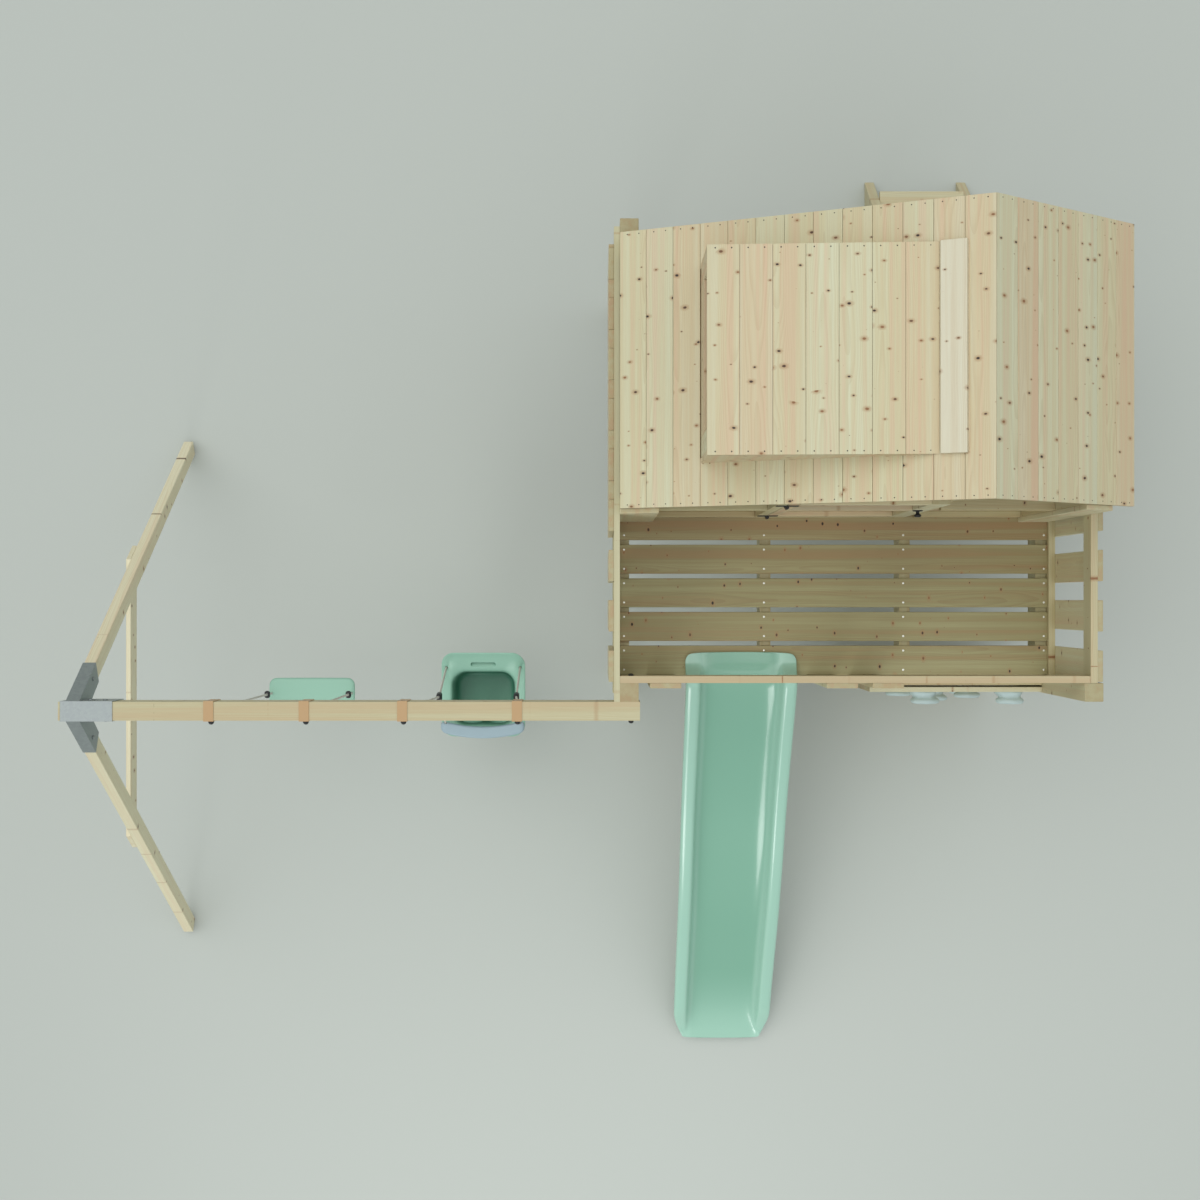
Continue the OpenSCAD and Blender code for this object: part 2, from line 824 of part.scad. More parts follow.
post_sw();
post_se();
post_nw();
post_ne();
joists();
rims();
hatch_trimmer();
deck_boards();
top_rails();
pickets_west();
pickets_east();
pickets_south();
pickets_north();
wall_west();
wall_east();
swing_beam();
beam_bolts();
beam_bracket();
bracket_bolts();
leg_north();
leg_south();
leg_brace();
hangers();
hanger_caps();
flat_seat();
flat_ropes();
flat_adjusters();
baby_seat();
baby_ropes();
baby_bridles();
baby_adjusters();
baby_guard();
slide();
climb_boards();
climb_battens();
climb_stones();
ladder_sides();
ladder_treads();
house_studs();
roof_plates();
rafters();
roof_west();
roof_east();
dormer_roof();
dormer_cheeks();
dormer_front();
dormer_head();
front_trim();
front_rails();
front_panels();
gable_south();
gable_north();
door_frame();
door_boards();
door_knob();
hinge_fixed();
hinge_door();
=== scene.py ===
# %% [markdown]
# # A timber play tower
# The set is planed spruce, moulded plastic, rope and a little steel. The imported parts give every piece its
# size and place. This file gives each one its finish, and replaces the plain solids with worked pieces.

# %% Load the parts
import json
import math
import random

import bmesh
import bpy
from mathutils import Matrix, Vector, noise


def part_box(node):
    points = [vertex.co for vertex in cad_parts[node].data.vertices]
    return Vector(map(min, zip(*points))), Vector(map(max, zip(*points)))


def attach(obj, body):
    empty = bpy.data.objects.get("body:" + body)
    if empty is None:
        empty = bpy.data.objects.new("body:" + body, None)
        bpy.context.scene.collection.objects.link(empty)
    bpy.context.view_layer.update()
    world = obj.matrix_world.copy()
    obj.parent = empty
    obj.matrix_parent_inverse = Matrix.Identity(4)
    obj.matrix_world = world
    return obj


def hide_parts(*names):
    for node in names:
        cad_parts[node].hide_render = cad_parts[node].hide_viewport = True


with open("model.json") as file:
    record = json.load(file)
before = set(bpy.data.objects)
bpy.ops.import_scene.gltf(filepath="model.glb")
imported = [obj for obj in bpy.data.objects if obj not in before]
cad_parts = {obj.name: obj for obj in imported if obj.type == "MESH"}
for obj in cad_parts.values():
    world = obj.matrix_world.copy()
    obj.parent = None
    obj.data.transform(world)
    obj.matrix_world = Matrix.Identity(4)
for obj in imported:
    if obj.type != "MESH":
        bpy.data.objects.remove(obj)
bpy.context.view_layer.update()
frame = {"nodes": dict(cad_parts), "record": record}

MM = 0.001

# %% [markdown]
# The set is seen from straight above, 8 m over the ground, close to the south-west post. A 50 mm lens on a
# 36 mm sensor takes in about 5.8 m of ground. North is at the top.

# %% Camera
camera = bpy.data.objects.new("camera", bpy.data.cameras.new("camera"))
camera.data.lens = 50
camera.data.sensor_width = 36
camera.location = (-0.109, 0.344, 8.0)
bpy.context.collection.objects.link(camera)
bpy.context.scene.camera = camera
bpy.context.scene.view_settings.view_transform = "Standard"

# %% [markdown]
# The light is a pale studio dome, brighter overhead than at the sides. It leaves soft shade beside the walls,
# under the deck and between the boards. One wide lamp high in the north-west lifts the west roof slope a
# little above the east one and leaves the slide's bed, which leans south, in soft shade. A softbox low in the
# south gives that glossy bed its long highlight; its beam is narrow, so it adds little to the floor.

# %% Light and floor
world = bpy.data.worlds.new("studio")
bpy.context.scene.world = world
world.use_nodes = True
sky = world.node_tree
background = sky.nodes["Background"]
background.inputs["Color"].default_value = (0.96, 0.985, 1.0, 1.0)
direction = sky.nodes.new("ShaderNodeTexCoord")
height = sky.nodes.new("ShaderNodeSeparateXYZ")
dome_light = sky.nodes.new("ShaderNodeMapRange")
dome_light.inputs["To Min"].default_value = 0.26  # at the horizon
dome_light.inputs["To Max"].default_value = 1.10  # overhead
sky.links.new(direction.outputs["Generated"], height.inputs[0])
sky.links.new(height.outputs["Z"], dome_light.inputs["Value"])
sky.links.new(dome_light.outputs["Result"], background.inputs["Strength"])

sun = bpy.data.objects.new("soft_lamp", bpy.data.lights.new("soft_lamp", "SUN"))
sun.data.energy = 0.70
sun.data.angle = math.radians(60)  # as wide as a large softbox, so shadows have no edge
sun.data.color = (1.0, 0.98, 0.93)
sun.rotation_euler = Vector((0.36, -0.22, -0.90)).to_track_quat("-Z", "Y").to_euler()
bpy.context.collection.objects.link(sun)

softbox = bpy.data.objects.new("softbox", bpy.data.lights.new("softbox", "AREA"))
softbox.data.shape = "RECTANGLE"
softbox.data.size, softbox.data.size_y = 3.2, 2.6
softbox.data.energy = 24
softbox.data.spread = math.radians(75)
softbox.location = (-2.0, -6.6, 3.4)
slide_middle = Vector((0.46, -0.9, 0.6))
softbox.rotation_euler = (slide_middle - softbox.location).to_track_quat("-Z", "Y").to_euler()
bpy.context.collection.objects.link(softbox)


def linear(hex_colour):
    """An sRGB hex colour as linear red, green, blue and alpha."""
    parts = [int(hex_colour[i:i + 2], 16) / 255 for i in (1, 3, 5)]
    return tuple(c / 12.92 if c <= 0.04045 else ((c + 0.055) / 1.055) ** 2.4 for c in parts) + (1.0,)


def add(material, kind, settings=None, **inputs):
    """Adds a node. Settings are its properties; inputs are values or the sockets that feed it."""
    tree = material.node_tree
    node = tree.nodes.new(kind)
    for name, value in (settings or {}).items():
        setattr(node, name, value)
    for name, value in inputs.items():
        key = int(name[1:]) if name[0] == "i" and name[1:].isdigit() else name.replace("_", " ")
        if isinstance(value, bpy.types.NodeSocket):
            tree.links.new(value, node.inputs[key])
        else:
            node.inputs[key].default_value = value
    return node


def new_material(name):
    """An empty material with its output node."""
    material = bpy.data.materials.new(name)
    material.use_nodes = True
    material.node_tree.nodes.clear()
    return material


def finish_material(material, **inputs):
    """Adds the surface shader and the output."""
    shader = add(material, "ShaderNodeBsdfPrincipled", None, **inputs)
    add(material, "ShaderNodeOutputMaterial", None, Surface=shader.outputs["BSDF"])
    print("material", material.name, len(material.node_tree.nodes), "nodes")
    return material


def ramp(material, fac, stops):
    """A colour ramp through (position, grey or hex colour) stops."""
    node = add(material, "ShaderNodeValToRGB", None, Fac=fac)
    elements = node.color_ramp.elements
    while len(elements) < len(stops):
        elements.new(0.5)
    for element, (place, colour) in zip(elements, stops):
        element.position = place
        element.color = linear(colour) if isinstance(colour, str) else (colour, colour, colour, 1)
    return node.outputs["Color"]


floor_mesh = bpy.data.meshes.new("studio_floor")
FAR = 30
floor_mesh.from_pydata([(-FAR, -FAR, 0), (FAR, -FAR, 0), (FAR, FAR, 0), (-FAR, FAR, 0)], [], [(0, 1, 2, 3)])
floor = bpy.data.objects.new("studio_floor", floor_mesh)
bpy.context.collection.objects.link(floor)
floor_paint = finish_material(new_material("matt_studio_floor"), Base_Color=linear("#B9BFB9"), Roughness=0.95)
floor_mesh.materials.append(floor_paint)

# %% [markdown]
# ## Spruce
# Planed spruce is cream with pale yellow and pink boards side by side. Its rings are 3 to 5 mm apart, so a
# flat-sawn face shows slow arches and an edge shows straight lines. Each board here carries its own place
# in a log, so the rings are cut out of one solid pattern. Small brown knots, 4 to 14 mm across, sit in a
# halo of bent grain. A cut end drinks in light and looks darker than the long faces. Planing leaves it matt.

# %% Spruce material
RING = 3.2 * MM
KNOT_SPACING = 92 * MM
KNOT_SQUASH = 1.55  # knots are wider across the board than along it
KNOT_SHARE, KNOT_LARGEST = 0.34, 0.090  # cells under the share have no knot; the largest is a part of a cell
RAGGED = 0.05
WANDER, BEND = 30 * MM, 6 * MM  # how far rings stray along a board, and how far they go round a knot
STREAKS = (0.5, 34.0, 34.0)  # long soft bands, about 30 mm wide
FIBRES = (9.0, 700.0, 700.0)  # about 1.4 mm wide, which is coarser than real spruce


def spruce(name, pale, warm, blush, rough=0.62, deep=1.0):
    """Planed spruce in three body colours. Deep sets how strongly its rings show."""
    m = new_material(name)
    smooth_step = {"interpolation_type": "SMOOTHSTEP"}
    multiply = {"data_type": "RGBA", "blend_type": "MULTIPLY"}
    place = add(m, "ShaderNodeAttribute", {"attribute_name": "log_place"}).outputs["Vector"]
    along = add(m, "ShaderNodeSeparateXYZ", None, Vector=place).outputs
    tint = add(m, "ShaderNodeAttribute", {"attribute_name": "board_tint"}).outputs["Fac"]

    # Cut ends: faces that look along the board.
    length_way = add(m, "ShaderNodeAttribute", {"attribute_name": "board_way"}).outputs["Vector"]
    facing = add(m, "ShaderNodeTexCoord").outputs["Normal"]
    endways = add(m, "ShaderNodeVectorMath", {"operation": "DOT_PRODUCT"}, i0=facing,
                  i1=length_way).outputs["Value"]
    endways = add(m, "ShaderNodeMath", {"operation": "ABSOLUTE"}, i0=endways).outputs[0]
    cut_end = add(m, "ShaderNodeMapRange", smooth_step, Value=endways, From_Min=0.80, From_Max=0.95,
                  To_Min=0.0, To_Max=0.9).outputs[0]

    # Knots: one at most in each cell, each with its own size, a ragged edge and a wide halo.
    flat = add(m, "ShaderNodeMapping", None, Vector=place, Scale=(KNOT_SQUASH, 1.0, 0.0)).outputs[0]
    cells = add(m, "ShaderNodeTexVoronoi", {"voronoi_dimensions": "2D", "feature": "F1"},
                Vector=flat, Scale=1 / KNOT_SPACING, Randomness=1.0).outputs
    cell = add(m, "ShaderNodeSeparateColor", None, Color=cells["Color"]).outputs
    size = add(m, "ShaderNodeMapRange", {"clamp": True}, Value=cell["Red"], From_Min=KNOT_SHARE, From_Max=1.0,
               To_Min=0.0, To_Max=KNOT_LARGEST).outputs[0]
    size = add(m, "ShaderNodeMath", {"operation": "MAXIMUM"}, i0=size, i1=0.0005).outputs[0]
    ragged = add(m, "ShaderNodeTexNoise", None, Vector=place, Scale=90.0, Detail=2.0).outputs["Fac"]
    edge = add(m, "ShaderNodeMath", {"operation": "MULTIPLY_ADD"}, i0=ragged, i1=RAGGED,
               i2=-RAGGED / 2).outputs[0]
    apart = add(m, "ShaderNodeMath", {"operation": "ADD"}, i0=cells["Distance"], i1=edge).outputs[0]
    near = add(m, "ShaderNodeMath", {"operation": "DIVIDE"}, i0=apart, i1=size).outputs[0]
    core = add(m, "ShaderNodeMapRange", smooth_step, Value=near, From_Min=0.55, From_Max=1.1, To_Min=1.0,
               To_Max=0.0).outputs[0]
    halo = add(m, "ShaderNodeMapRange", smooth_step, Value=near, From_Min=0.7, From_Max=3.0, To_Min=1.0,
               To_Max=0.0).outputs[0]

    # Rings: distance from the log's middle, bent by a slow wander and by the knots.
    slow = add(m, "ShaderNodeMapping", None, Vector=place, Scale=(0.9, 5.0, 5.0)).outputs[0]
    wander = add(m, "ShaderNodeTexNoise", None, Vector=slow, Scale=1.6, Detail=2.0,
                 Roughness=0.5).outputs["Fac"]
    across = add(m, "ShaderNodeCombineXYZ", None, X=0.0, Y=along["Y"], Z=along["Z"]).outputs[0]
    radius = add(m, "ShaderNodeVectorMath", {"operation": "LENGTH"}, i0=across).outputs["Value"]
    bent = add(m, "ShaderNodeMath", {"operation": "MULTIPLY_ADD"}, i0=wander, i1=WANDER, i2=radius).outputs[0]
    bent = add(m, "ShaderNodeMath", {"operation": "MULTIPLY_ADD"}, i0=halo, i1=BEND, i2=bent).outputs[0]
    turns = add(m, "ShaderNodeMath", {"operation": "DIVIDE"}, i0=bent, i1=RING).outputs[0]
    ring = add(m, "ShaderNodeMath", {"operation": "FRACT"}, i0=turns).outputs[0]
    late = add(m, "ShaderNodeMapRange", smooth_step, Value=ring, From_Min=0.30, From_Max=0.95, To_Min=0.0,
               To_Max=1.0).outputs[0]

    # Streaks and fibres: the same kind of noise, drawn out along the board.
    strip = add(m, "ShaderNodeMapping", None, Vector=place, Scale=STREAKS).outputs[0]
    streak = add(m, "ShaderNodeTexNoise", None, Vector=strip, Scale=1.0, Detail=3.0,
                 Roughness=0.6).outputs["Fac"]
    fibre = add(m, "ShaderNodeMapping", None, Vector=place, Scale=FIBRES).outputs[0]
    hair = add(m, "ShaderNodeTexNoise", None, Vector=fibre, Scale=1.0, Detail=2.0,
               Roughness=0.6).outputs["Fac"]

    # Colour: the body first, then rings, fibres, stain round the knots, the knots, and the cut ends.
    soft = ramp(m, streak, [(0.38, pale), (0.50, warm), (0.62, blush)])
    plain = ramp(m, tint, [(0.0, pale), (0.55, warm), (1.0, blush)])
    body = add(m, "ShaderNodeMix", {"data_type": "RGBA"}, i0=0.55, i6=plain, i7=soft).outputs[2]
    grain = add(m, "ShaderNodeMath", {"operation": "MULTIPLY"}, i0=late, i1=0.15 * deep).outputs[0]
    body = add(m, "ShaderNodeMix", multiply, i0=grain, i6=body, i7=linear("#C6A47C")).outputs[2]
    fine = add(m, "ShaderNodeMapRange", None, Value=hair, From_Min=0.3, From_Max=0.7, To_Min=0.0,
               To_Max=0.12).outputs[0]
    body = add(m, "ShaderNodeMix", multiply, i0=fine, i6=body, i7=linear("#B89A70")).outputs[2]
    stain = add(m, "ShaderNodeMath", {"operation": "MULTIPLY"}, i0=halo, i1=0.55).outputs[0]
    body = add(m, "ShaderNodeMix", {"data_type": "RGBA"}, i0=stain, i6=body, i7=linear("#A67F58")).outputs[2]
    heart = ramp(m, cell["Green"], [(0.30, "#8C6440"), (0.60, "#4A3222"), (0.85, "#2A1E17")])
    body = add(m, "ShaderNodeMix", {"data_type": "RGBA"}, i0=core, i6=body, i7=heart).outputs[2]
    body = add(m, "ShaderNodeMix", multiply, i0=cut_end, i6=body, i7=linear("#DDD8CC")).outputs[2]

    # Relief and gloss: the hard late wood stands a little proud and shines a little more.
    relief = add(m, "ShaderNodeMath", {"operation": "MULTIPLY_ADD"}, i0=hair, i1=0.5, i2=late).outputs[0]
    bump = add(m, "ShaderNodeBump", None, Strength=0.2, Distance=0.5 * MM, Height=relief).outputs[0]
    gloss = add(m, "ShaderNodeMapRange", None, Value=late, To_Min=rough, To_Max=rough - 0.12).outputs[0]
    return finish_material(m, Base_Color=body, Roughness=gloss, Normal=bump)


BOARD = spruce("spruce_boards", "#CECDAE", "#CAC19B", "#CEB393")
ROOF = spruce("spruce_roof_boards", "#D3D4B6", "#CFC8A3", "#D4BA9B")
SAPWOOD = spruce("spruce_sapwood", "#DEDDC8", "#DAD6BE", "#D3CAB0")
POST = spruce("spruce_posts", "#C8C6A4", "#C1BB97", "#C2AF8B")
LEG = spruce("spruce_legs", "#EAEACE", "#E4E1C0", "#E2D5B5")
FRAMING = spruce("spruce_framing", "#C6C29C", "#BDB58A", "#B8A67F")
# The decking's colours are darker than the other spruce: painted shade for the deck, which lies low between
# the house and the railings.
DECKING = spruce("spruce_decking", "#ACAA81", "#9B9369", "#A48962", deep=1.4)

# %% [markdown]
# ## Boards
# A real board is a straight length of timber with eased edges. Each solid is taken apart into its boards,
# each board gets a small round on its edges, and three values are stored on its points: its place in the log,
# the way it runs and a tint. A board runs the way of its longest edge, unless a table says otherwise.

# %% Boards from the parts
dice = random.Random(41)
SHARP = 0.35  # radians; every edge that turns more than this is eased
WELD = 0.02 * MM


def islands(bm):
    """The separate boards in a mesh, as lists of points."""
    for parts in (bm.verts, bm.edges, bm.faces):
        parts.index_update()
    seen, groups = set(), []
    for start in bm.verts:
        if start.index in seen:
            continue
        seen.add(start.index)
        stack, group = [start], []
        while stack:
            vert = stack.pop()
            group.append(vert)
            for edge in vert.link_edges:
                other = edge.other_vert(vert)
                if other.index not in seen:
                    seen.add(other.index)
                    stack.append(other)
        groups.append(group)
    return groups


def board_axes(group, grain):
    """The long, wide and thick ways of one board. Sorting settles ties the same way in every run."""
    edges = sorted({e for v in group for e in v.link_edges}, key=lambda e: e.index)
    if grain is None:
        longest = max(edges, key=lambda e: e.calc_length())
        along = (longest.verts[1].co - longest.verts[0].co).normalized()
    else:
        along = Vector(grain)
    faces = sorted({f for v in group for f in v.link_faces}, key=lambda f: f.index)
    sides = [f for f in faces if abs(f.normal.dot(along)) < 0.5]
    thick = max(sides, key=lambda f: f.calc_area()).normal.copy()
    thick = (thick - along * thick.dot(along)).normalized()
    return along, thick.cross(along), thick


def make_piece(name, bm, material, body, smooth=False):
    """Turns worked geometry into a piece that rides on a body."""
    if smooth:
        bmesh.ops.recalc_face_normals(bm, faces=bm.faces)
    mesh = bpy.data.meshes.new(name)
    bm.to_mesh(mesh)
    bm.free()
    if smooth:
        mesh.shade_smooth()
    mesh.materials.append(material)
    piece = bpy.data.objects.new(name, mesh)
    bpy.context.collection.objects.link(piece)
    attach(piece, body)
    return piece


def timber(name, bm, material, body, ease, grain=None):
    """Eases each board's edges and gives the board its own place in a log."""
    marker = bm.verts.layers.int.new("board")
    log = bm.verts.layers.float_vector.new("log_place")
    tint = bm.verts.layers.float.new("board_tint")
    way = bm.verts.layers.float_vector.new("board_way")
    groups = islands(bm)
    axes = []
    for number, group in enumerate(groups):
        middle = sum((v.co for v in group), Vector()) / len(group)
        axes.append((middle,) + board_axes(group, grain))
        for vert in group:
            vert[marker] = number
    sharp = [e for e in bm.edges if len(e.link_faces) == 2 and e.calc_face_angle(0) > SHARP]
    bmesh.ops.bevel(bm, geom=sharp, offset=ease, segments=2, affect="EDGES", clamp_overlap=True,
                    profile=0.6)
    starts = [(Vector((dice.uniform(0, 40), dice.uniform(-0.09, 0.09), dice.uniform(0.03, 0.13))),
               dice.random()) for _ in groups]
    for vert in bm.verts:
        middle, along, wide, thick = axes[vert[marker]]
        start, shade = starts[vert[marker]]
        off = vert.co - middle
        vert[log] = start + Vector((off.dot(along), off.dot(wide), off.dot(thick)))
        vert[tint] = shade
        vert[way] = along
    piece = make_piece(name, bm, material, body)
    print(name, len(groups), "boards,", len(piece.data.polygons), "faces")
    return piece


def cad_mesh(node):
    """A part's own mesh, welded, with its flat faces joined up."""
    bm = bmesh.new()
    bm.from_mesh(frame["nodes"][node].data)
    bmesh.ops.remove_doubles(bm, verts=bm.verts, dist=WELD)
    bmesh.ops.dissolve_limit(bm, angle_limit=0.02, verts=bm.verts, edges=bm.edges)
    bm.normal_update()
    return bm


def boxes(*limits):
    """Plain boards, each given by its low and high corner."""
    bm = bmesh.new()
    for low, high in limits:
        low, high = Vector(low), Vector(high)
        made = bmesh.ops.create_cube(bm, size=1.0)["verts"]
        for vert in made:
            vert.co = Vector([(a + b) / 2 + c * (b - a) for a, b, c in zip(low, high, vert.co)])
    bm.normal_update()
    return bm


# For each part: its wood, its surface slot, which nothing here uses, and how wide its edges are eased, in mm.
WOODEN = {
    "post_sw": (POST, "post_timber", 4), "post_se": (POST, "post_timber", 4),
    "post_nw": (POST, "post_timber", 4), "post_ne": (POST, "post_timber", 4),
    "swing_beam": (POST, "post_timber", 4), "leg_north": (LEG, "post_timber", 4),
    "leg_south": (LEG, "post_timber", 4), "leg_brace": (LEG, "post_timber", 2.5),
    "joists": (FRAMING, "framing_timber", 3), "rims": (FRAMING, "framing_timber", 2.5),
    "hatch_trimmer": (FRAMING, "framing_timber", 3), "deck_boards": (DECKING, "board_timber", 3),
    "top_rails": (POST, "board_timber", 3), "pickets_west": (BOARD, "board_timber", 3),
    "pickets_east": (BOARD, "board_timber", 3), "pickets_south": (BOARD, "board_timber", 3),
    "pickets_north": (BOARD, "board_timber", 3), "climb_boards": (BOARD, "board_timber", 2),
    "ladder_sides": (POST, "framing_timber", 4), "ladder_treads": (BOARD, "framing_timber", 3),
    "house_studs": (FRAMING, "framing_timber", 2), "roof_plates": (FRAMING, "framing_timber", 2),
    "rafters": (FRAMING, "framing_timber", 2), "roof_west": (ROOF, "board_timber", 1.8),
    "roof_east": (ROOF, "board_timber", 1.8), "dormer_roof": (ROOF, "board_timber", 1.8),
    "dormer_cheeks": (BOARD, "board_timber", 1), "dormer_head": (SAPWOOD, "board_timber", 2),
    "dormer_front": (BOARD, "board_timber", 1.5), "wall_west": (BOARD, "board_timber", 2),
    "wall_east": (BOARD, "board_timber", 2), "front_trim": (BOARD, "board_timber", 2),
    "front_panels": (BOARD, "board_timber", 2), "gable_south": (BOARD, "board_timber", 1.5),
    "gable_north": (BOARD, "board_timber", 1.5), "door_boards": (BOARD, "board_timber", 2),
}
UP, NORTH, SOUTH = (0, 0, 1), (0, 1, 0), (0, -1, 0)
GRAIN = {"gable_south": UP, "gable_north": UP, "dormer_cheeks": UP, "front_trim": UP,
         "roof_west": NORTH, "dormer_roof": NORTH, "dormer_head": NORTH}
body_of = {node: body for body, nodes in frame["record"]["behaviour"]["bodies"].items() for node in nodes}
for node, (wood, slot, ease) in WOODEN.items():
    piece = timber(node + "_timber", cad_mesh(node), wood, body_of[node], ease * MM, GRAIN.get(node))
    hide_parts(node)

# %% [markdown]
# Three parts are joined from boards that run different ways. They are built again board by board, so that the
# grain turns at each joint as it does in joinery.

# %% Joined frames
JOINT = 0.6 * MM  # the fine gap at a joint
SILL = (1.715, 1.760)  # the rail under the windows, at the same height in the door and beside it

low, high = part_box("door_frame")
hinge_stile, latch_stile, cross_rail = 40 * MM, 66 * MM, 60 * MM
boards = [(low, (low[0] + hinge_stile, high[1], high[2])), ((high[0] - latch_stile, low[1], low[2]), high)]
for bottom, top in ((low[2], low[2] + cross_rail), SILL, (high[2] - cross_rail, high[2])):
    boards.append(((low[0] + hinge_stile + JOINT, low[1], bottom),
                   (high[0] - latch_stile - JOINT, high[1], top)))
piece = timber("door_frame_timber", boxes(*boards), BOARD, "door", 2 * MM)
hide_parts("door_frame")

low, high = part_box("front_rails")
west_panel, east_panel, doorway = (0.106, 0.519), (1.168, 1.596), (0.555, 1.132)
deck, floor_rail, panel_back = low[2], low[2] + 0.05, 0.705
boards = [((x0, low[1], deck), (x1, panel_back, floor_rail)) for x0, x1 in (west_panel, east_panel)]
boards.append(((doorway[0], low[1], deck), (doorway[1], high[1], floor_rail)))
boards += [((x0, low[1], SILL[0]), (x1, high[1], SILL[1])) for x0, x1 in (west_panel, east_panel)]
piece = timber("front_rails_timber", boxes(*boards), FRAMING, "frame", 3 * MM)
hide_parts("front_rails")

low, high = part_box("climb_battens")
batten, shelf = 70 * MM, 1.105  # the cross batten starts at the shelf's height
boards = [(low, (low[0] + batten, high[1], high[2])),
          ((high[0] - batten, low[1], low[2]), (high[0], high[1], shelf - 1 * MM)),
          ((low[0] + batten + JOINT, -0.003, shelf), high)]
piece = timber("climb_battens_timber", boxes(*boards), FRAMING, "frame", 3 * MM)
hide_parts("climb_battens")

# %% [markdown]
# ## Moulded plastic
# The slide is blow-moulded polyethylene: glossy, under a thin clear gleam. The seats are injection moulded
# and satin, with a fine grain. A faint unevenness in the gloss keeps large faces from looking painted.
# The bucket's colour leans to a deeper green where the shape closes in; this is painted shade. The slide's
# bed is painted a deeper green than its rolled rims, also painted shade; each point of the slide carries a
# value that says how much.

# %% Plastics
PIT = 2.2 * MM  # coarser than real grain, so that it shows
PAINTED_SHADE_REACH = 250 * MM


def moulded(name, colour, rough, coat=0.0, grit=0.0, mottled=None, mottle=0.0, painted_shade=None, painted_shade_by=None):
    """Moulded plastic. Painted shade turns its colour deeper in hollows, or by a value stored on its points.
    """
    m = new_material(name)
    where = add(m, "ShaderNodeTexCoord").outputs["Object"]
    cloud = add(m, "ShaderNodeTexNoise", None, Vector=where, Scale=6.0, Detail=2.0).outputs["Fac"]
    tone = add(m, "ShaderNodeMath", {"operation": "MULTIPLY"}, i0=cloud, i1=mottle).outputs[0]
    paint = add(m, "ShaderNodeMix", {"data_type": "RGBA"}, i0=tone, i6=linear(colour),
                i7=linear(mottled or colour)).outputs[2]
    # Painted shade: the colour is mixed towards a darker one, by the stored value or in hollows.
    if painted_shade:
        if painted_shade_by:
            depth = add(m, "ShaderNodeAttribute", {"attribute_name": painted_shade_by}).outputs["Fac"]
        else:
            # Painted shade in hollows, found by an occlusion test.
            opening = add(m, "ShaderNodeAmbientOcclusion", {"samples": 8, "only_local": True},
                          Distance=PAINTED_SHADE_REACH).outputs["AO"]
            depth = add(m, "ShaderNodeMapRange", None, Value=opening, From_Min=0.45, From_Max=1.0, To_Min=1.0,
                        To_Max=0.0).outputs[0]
        paint = add(m, "ShaderNodeMix", {"data_type": "RGBA"}, i0=depth, i6=paint,
                    i7=linear(painted_shade)).outputs[2]
    uneven = add(m, "ShaderNodeMapRange", None, Value=cloud, To_Min=rough - 0.04,
                 To_Max=rough + 0.06).outputs[0]
    pits = add(m, "ShaderNodeTexNoise", None, Vector=where, Scale=1 / PIT, Detail=2.0).outputs["Fac"]
    bump = add(m, "ShaderNodeBump", None, Strength=grit, Distance=0.6 * MM, Height=pits).outputs[0]
    return finish_material(m, Base_Color=paint, Roughness=uneven, Normal=bump, Coat_Weight=coat,
                           Coat_Roughness=0.08, IOR=1.5)


# Painted shade: the slide's bed is mixed towards a darker mint than its rims.
SLIDE_PE = moulded("moulded_polyethylene_mint", "#9DC8B5", 0.22, coat=0.5, grit=0.02, painted_shade="#7BAD96",
                   painted_shade_by="painted_bed_shade")
# Painted shade: the seats turn a dark green where the shape closes in, most of all inside the bucket.
SEAT_PE = moulded("satin_polyethylene_mint", "#92BFAA", 0.36, grit=0.15, painted_shade="#3C7A61")
GUARD_PE = moulded("satin_polyethylene_lavender", "#97ADB6", 0.36, grit=0.15)
STONE_PP = moulded("gritty_polyester_stone", "#BFD2D0", 0.5, grit=0.8, mottled="#96A8A8", mottle=0.5)
BLACK_PP = moulded("black_polypropylene", "#151618", 0.36, grit=0.2, mottled="#2A2A2C", mottle=0.4)
AMBER = moulded("amber_polyamide_band", "#B8976C", 0.42, grit=0.2)

# %% [markdown]
# ## Metals
# The beam fitting is hot-dip galvanised sheet: a dull grey with crystals of zinc 5 to 15 mm across. The
# hinges are powder-coated black.

# %% Metals
galvanised = new_material("galvanised_sheet")
spot = add(galvanised, "ShaderNodeTexCoord").outputs["Object"]
spangle = add(galvanised, "ShaderNodeTexVoronoi", None, Vector=spot, Scale=1 / (9 * MM)).outputs["Color"]
grey = add(galvanised, "ShaderNodeSeparateColor", None, Color=spangle).outputs["Red"]
zinc = ramp(galvanised, grey, [(0.0, "#92999A"), (1.0, "#9DA5A4")])
dull = add(galvanised, "ShaderNodeMapRange", None, Value=grey, To_Min=0.42, To_Max=0.50).outputs[0]
GALVANISED = finish_material(galvanised, Base_Color=zinc, Metallic=0.75, Roughness=dull)

coated = new_material("black_powder_coat")
spot = add(coated, "ShaderNodeTexCoord").outputs["Object"]
orange_peel = add(coated, "ShaderNodeTexNoise", None, Vector=spot, Scale=1 / (1.5 * MM)).outputs["Fac"]
peel = add(coated, "ShaderNodeBump", None, Strength=0.3, Distance=0.0003, Height=orange_peel).outputs[0]
BLACK_STEEL = finish_material(coated, Base_Color=linear("#141414"), Roughness=0.45, Normal=peel)

bright = new_material("stainless_screw")
spot = add(bright, "ShaderNodeTexCoord").outputs["Object"]
brushed = add(bright, "ShaderNodeTexNoise", None, Vector=spot, Scale=300.0).outputs["Fac"]
shine = add(bright, "ShaderNodeMapRange", None, Value=brushed, To_Min=0.25, To_Max=0.4).outputs[0]
SCREW = finish_material(bright, Base_Color=linear("#E6E6DE"), Metallic=0.9, Roughness=shine)

# %% [markdown]
# The steel parts keep their CAD shapes. A small round on each edge catches the light as a folded or cast
# edge does.

# %% Steel and small caps


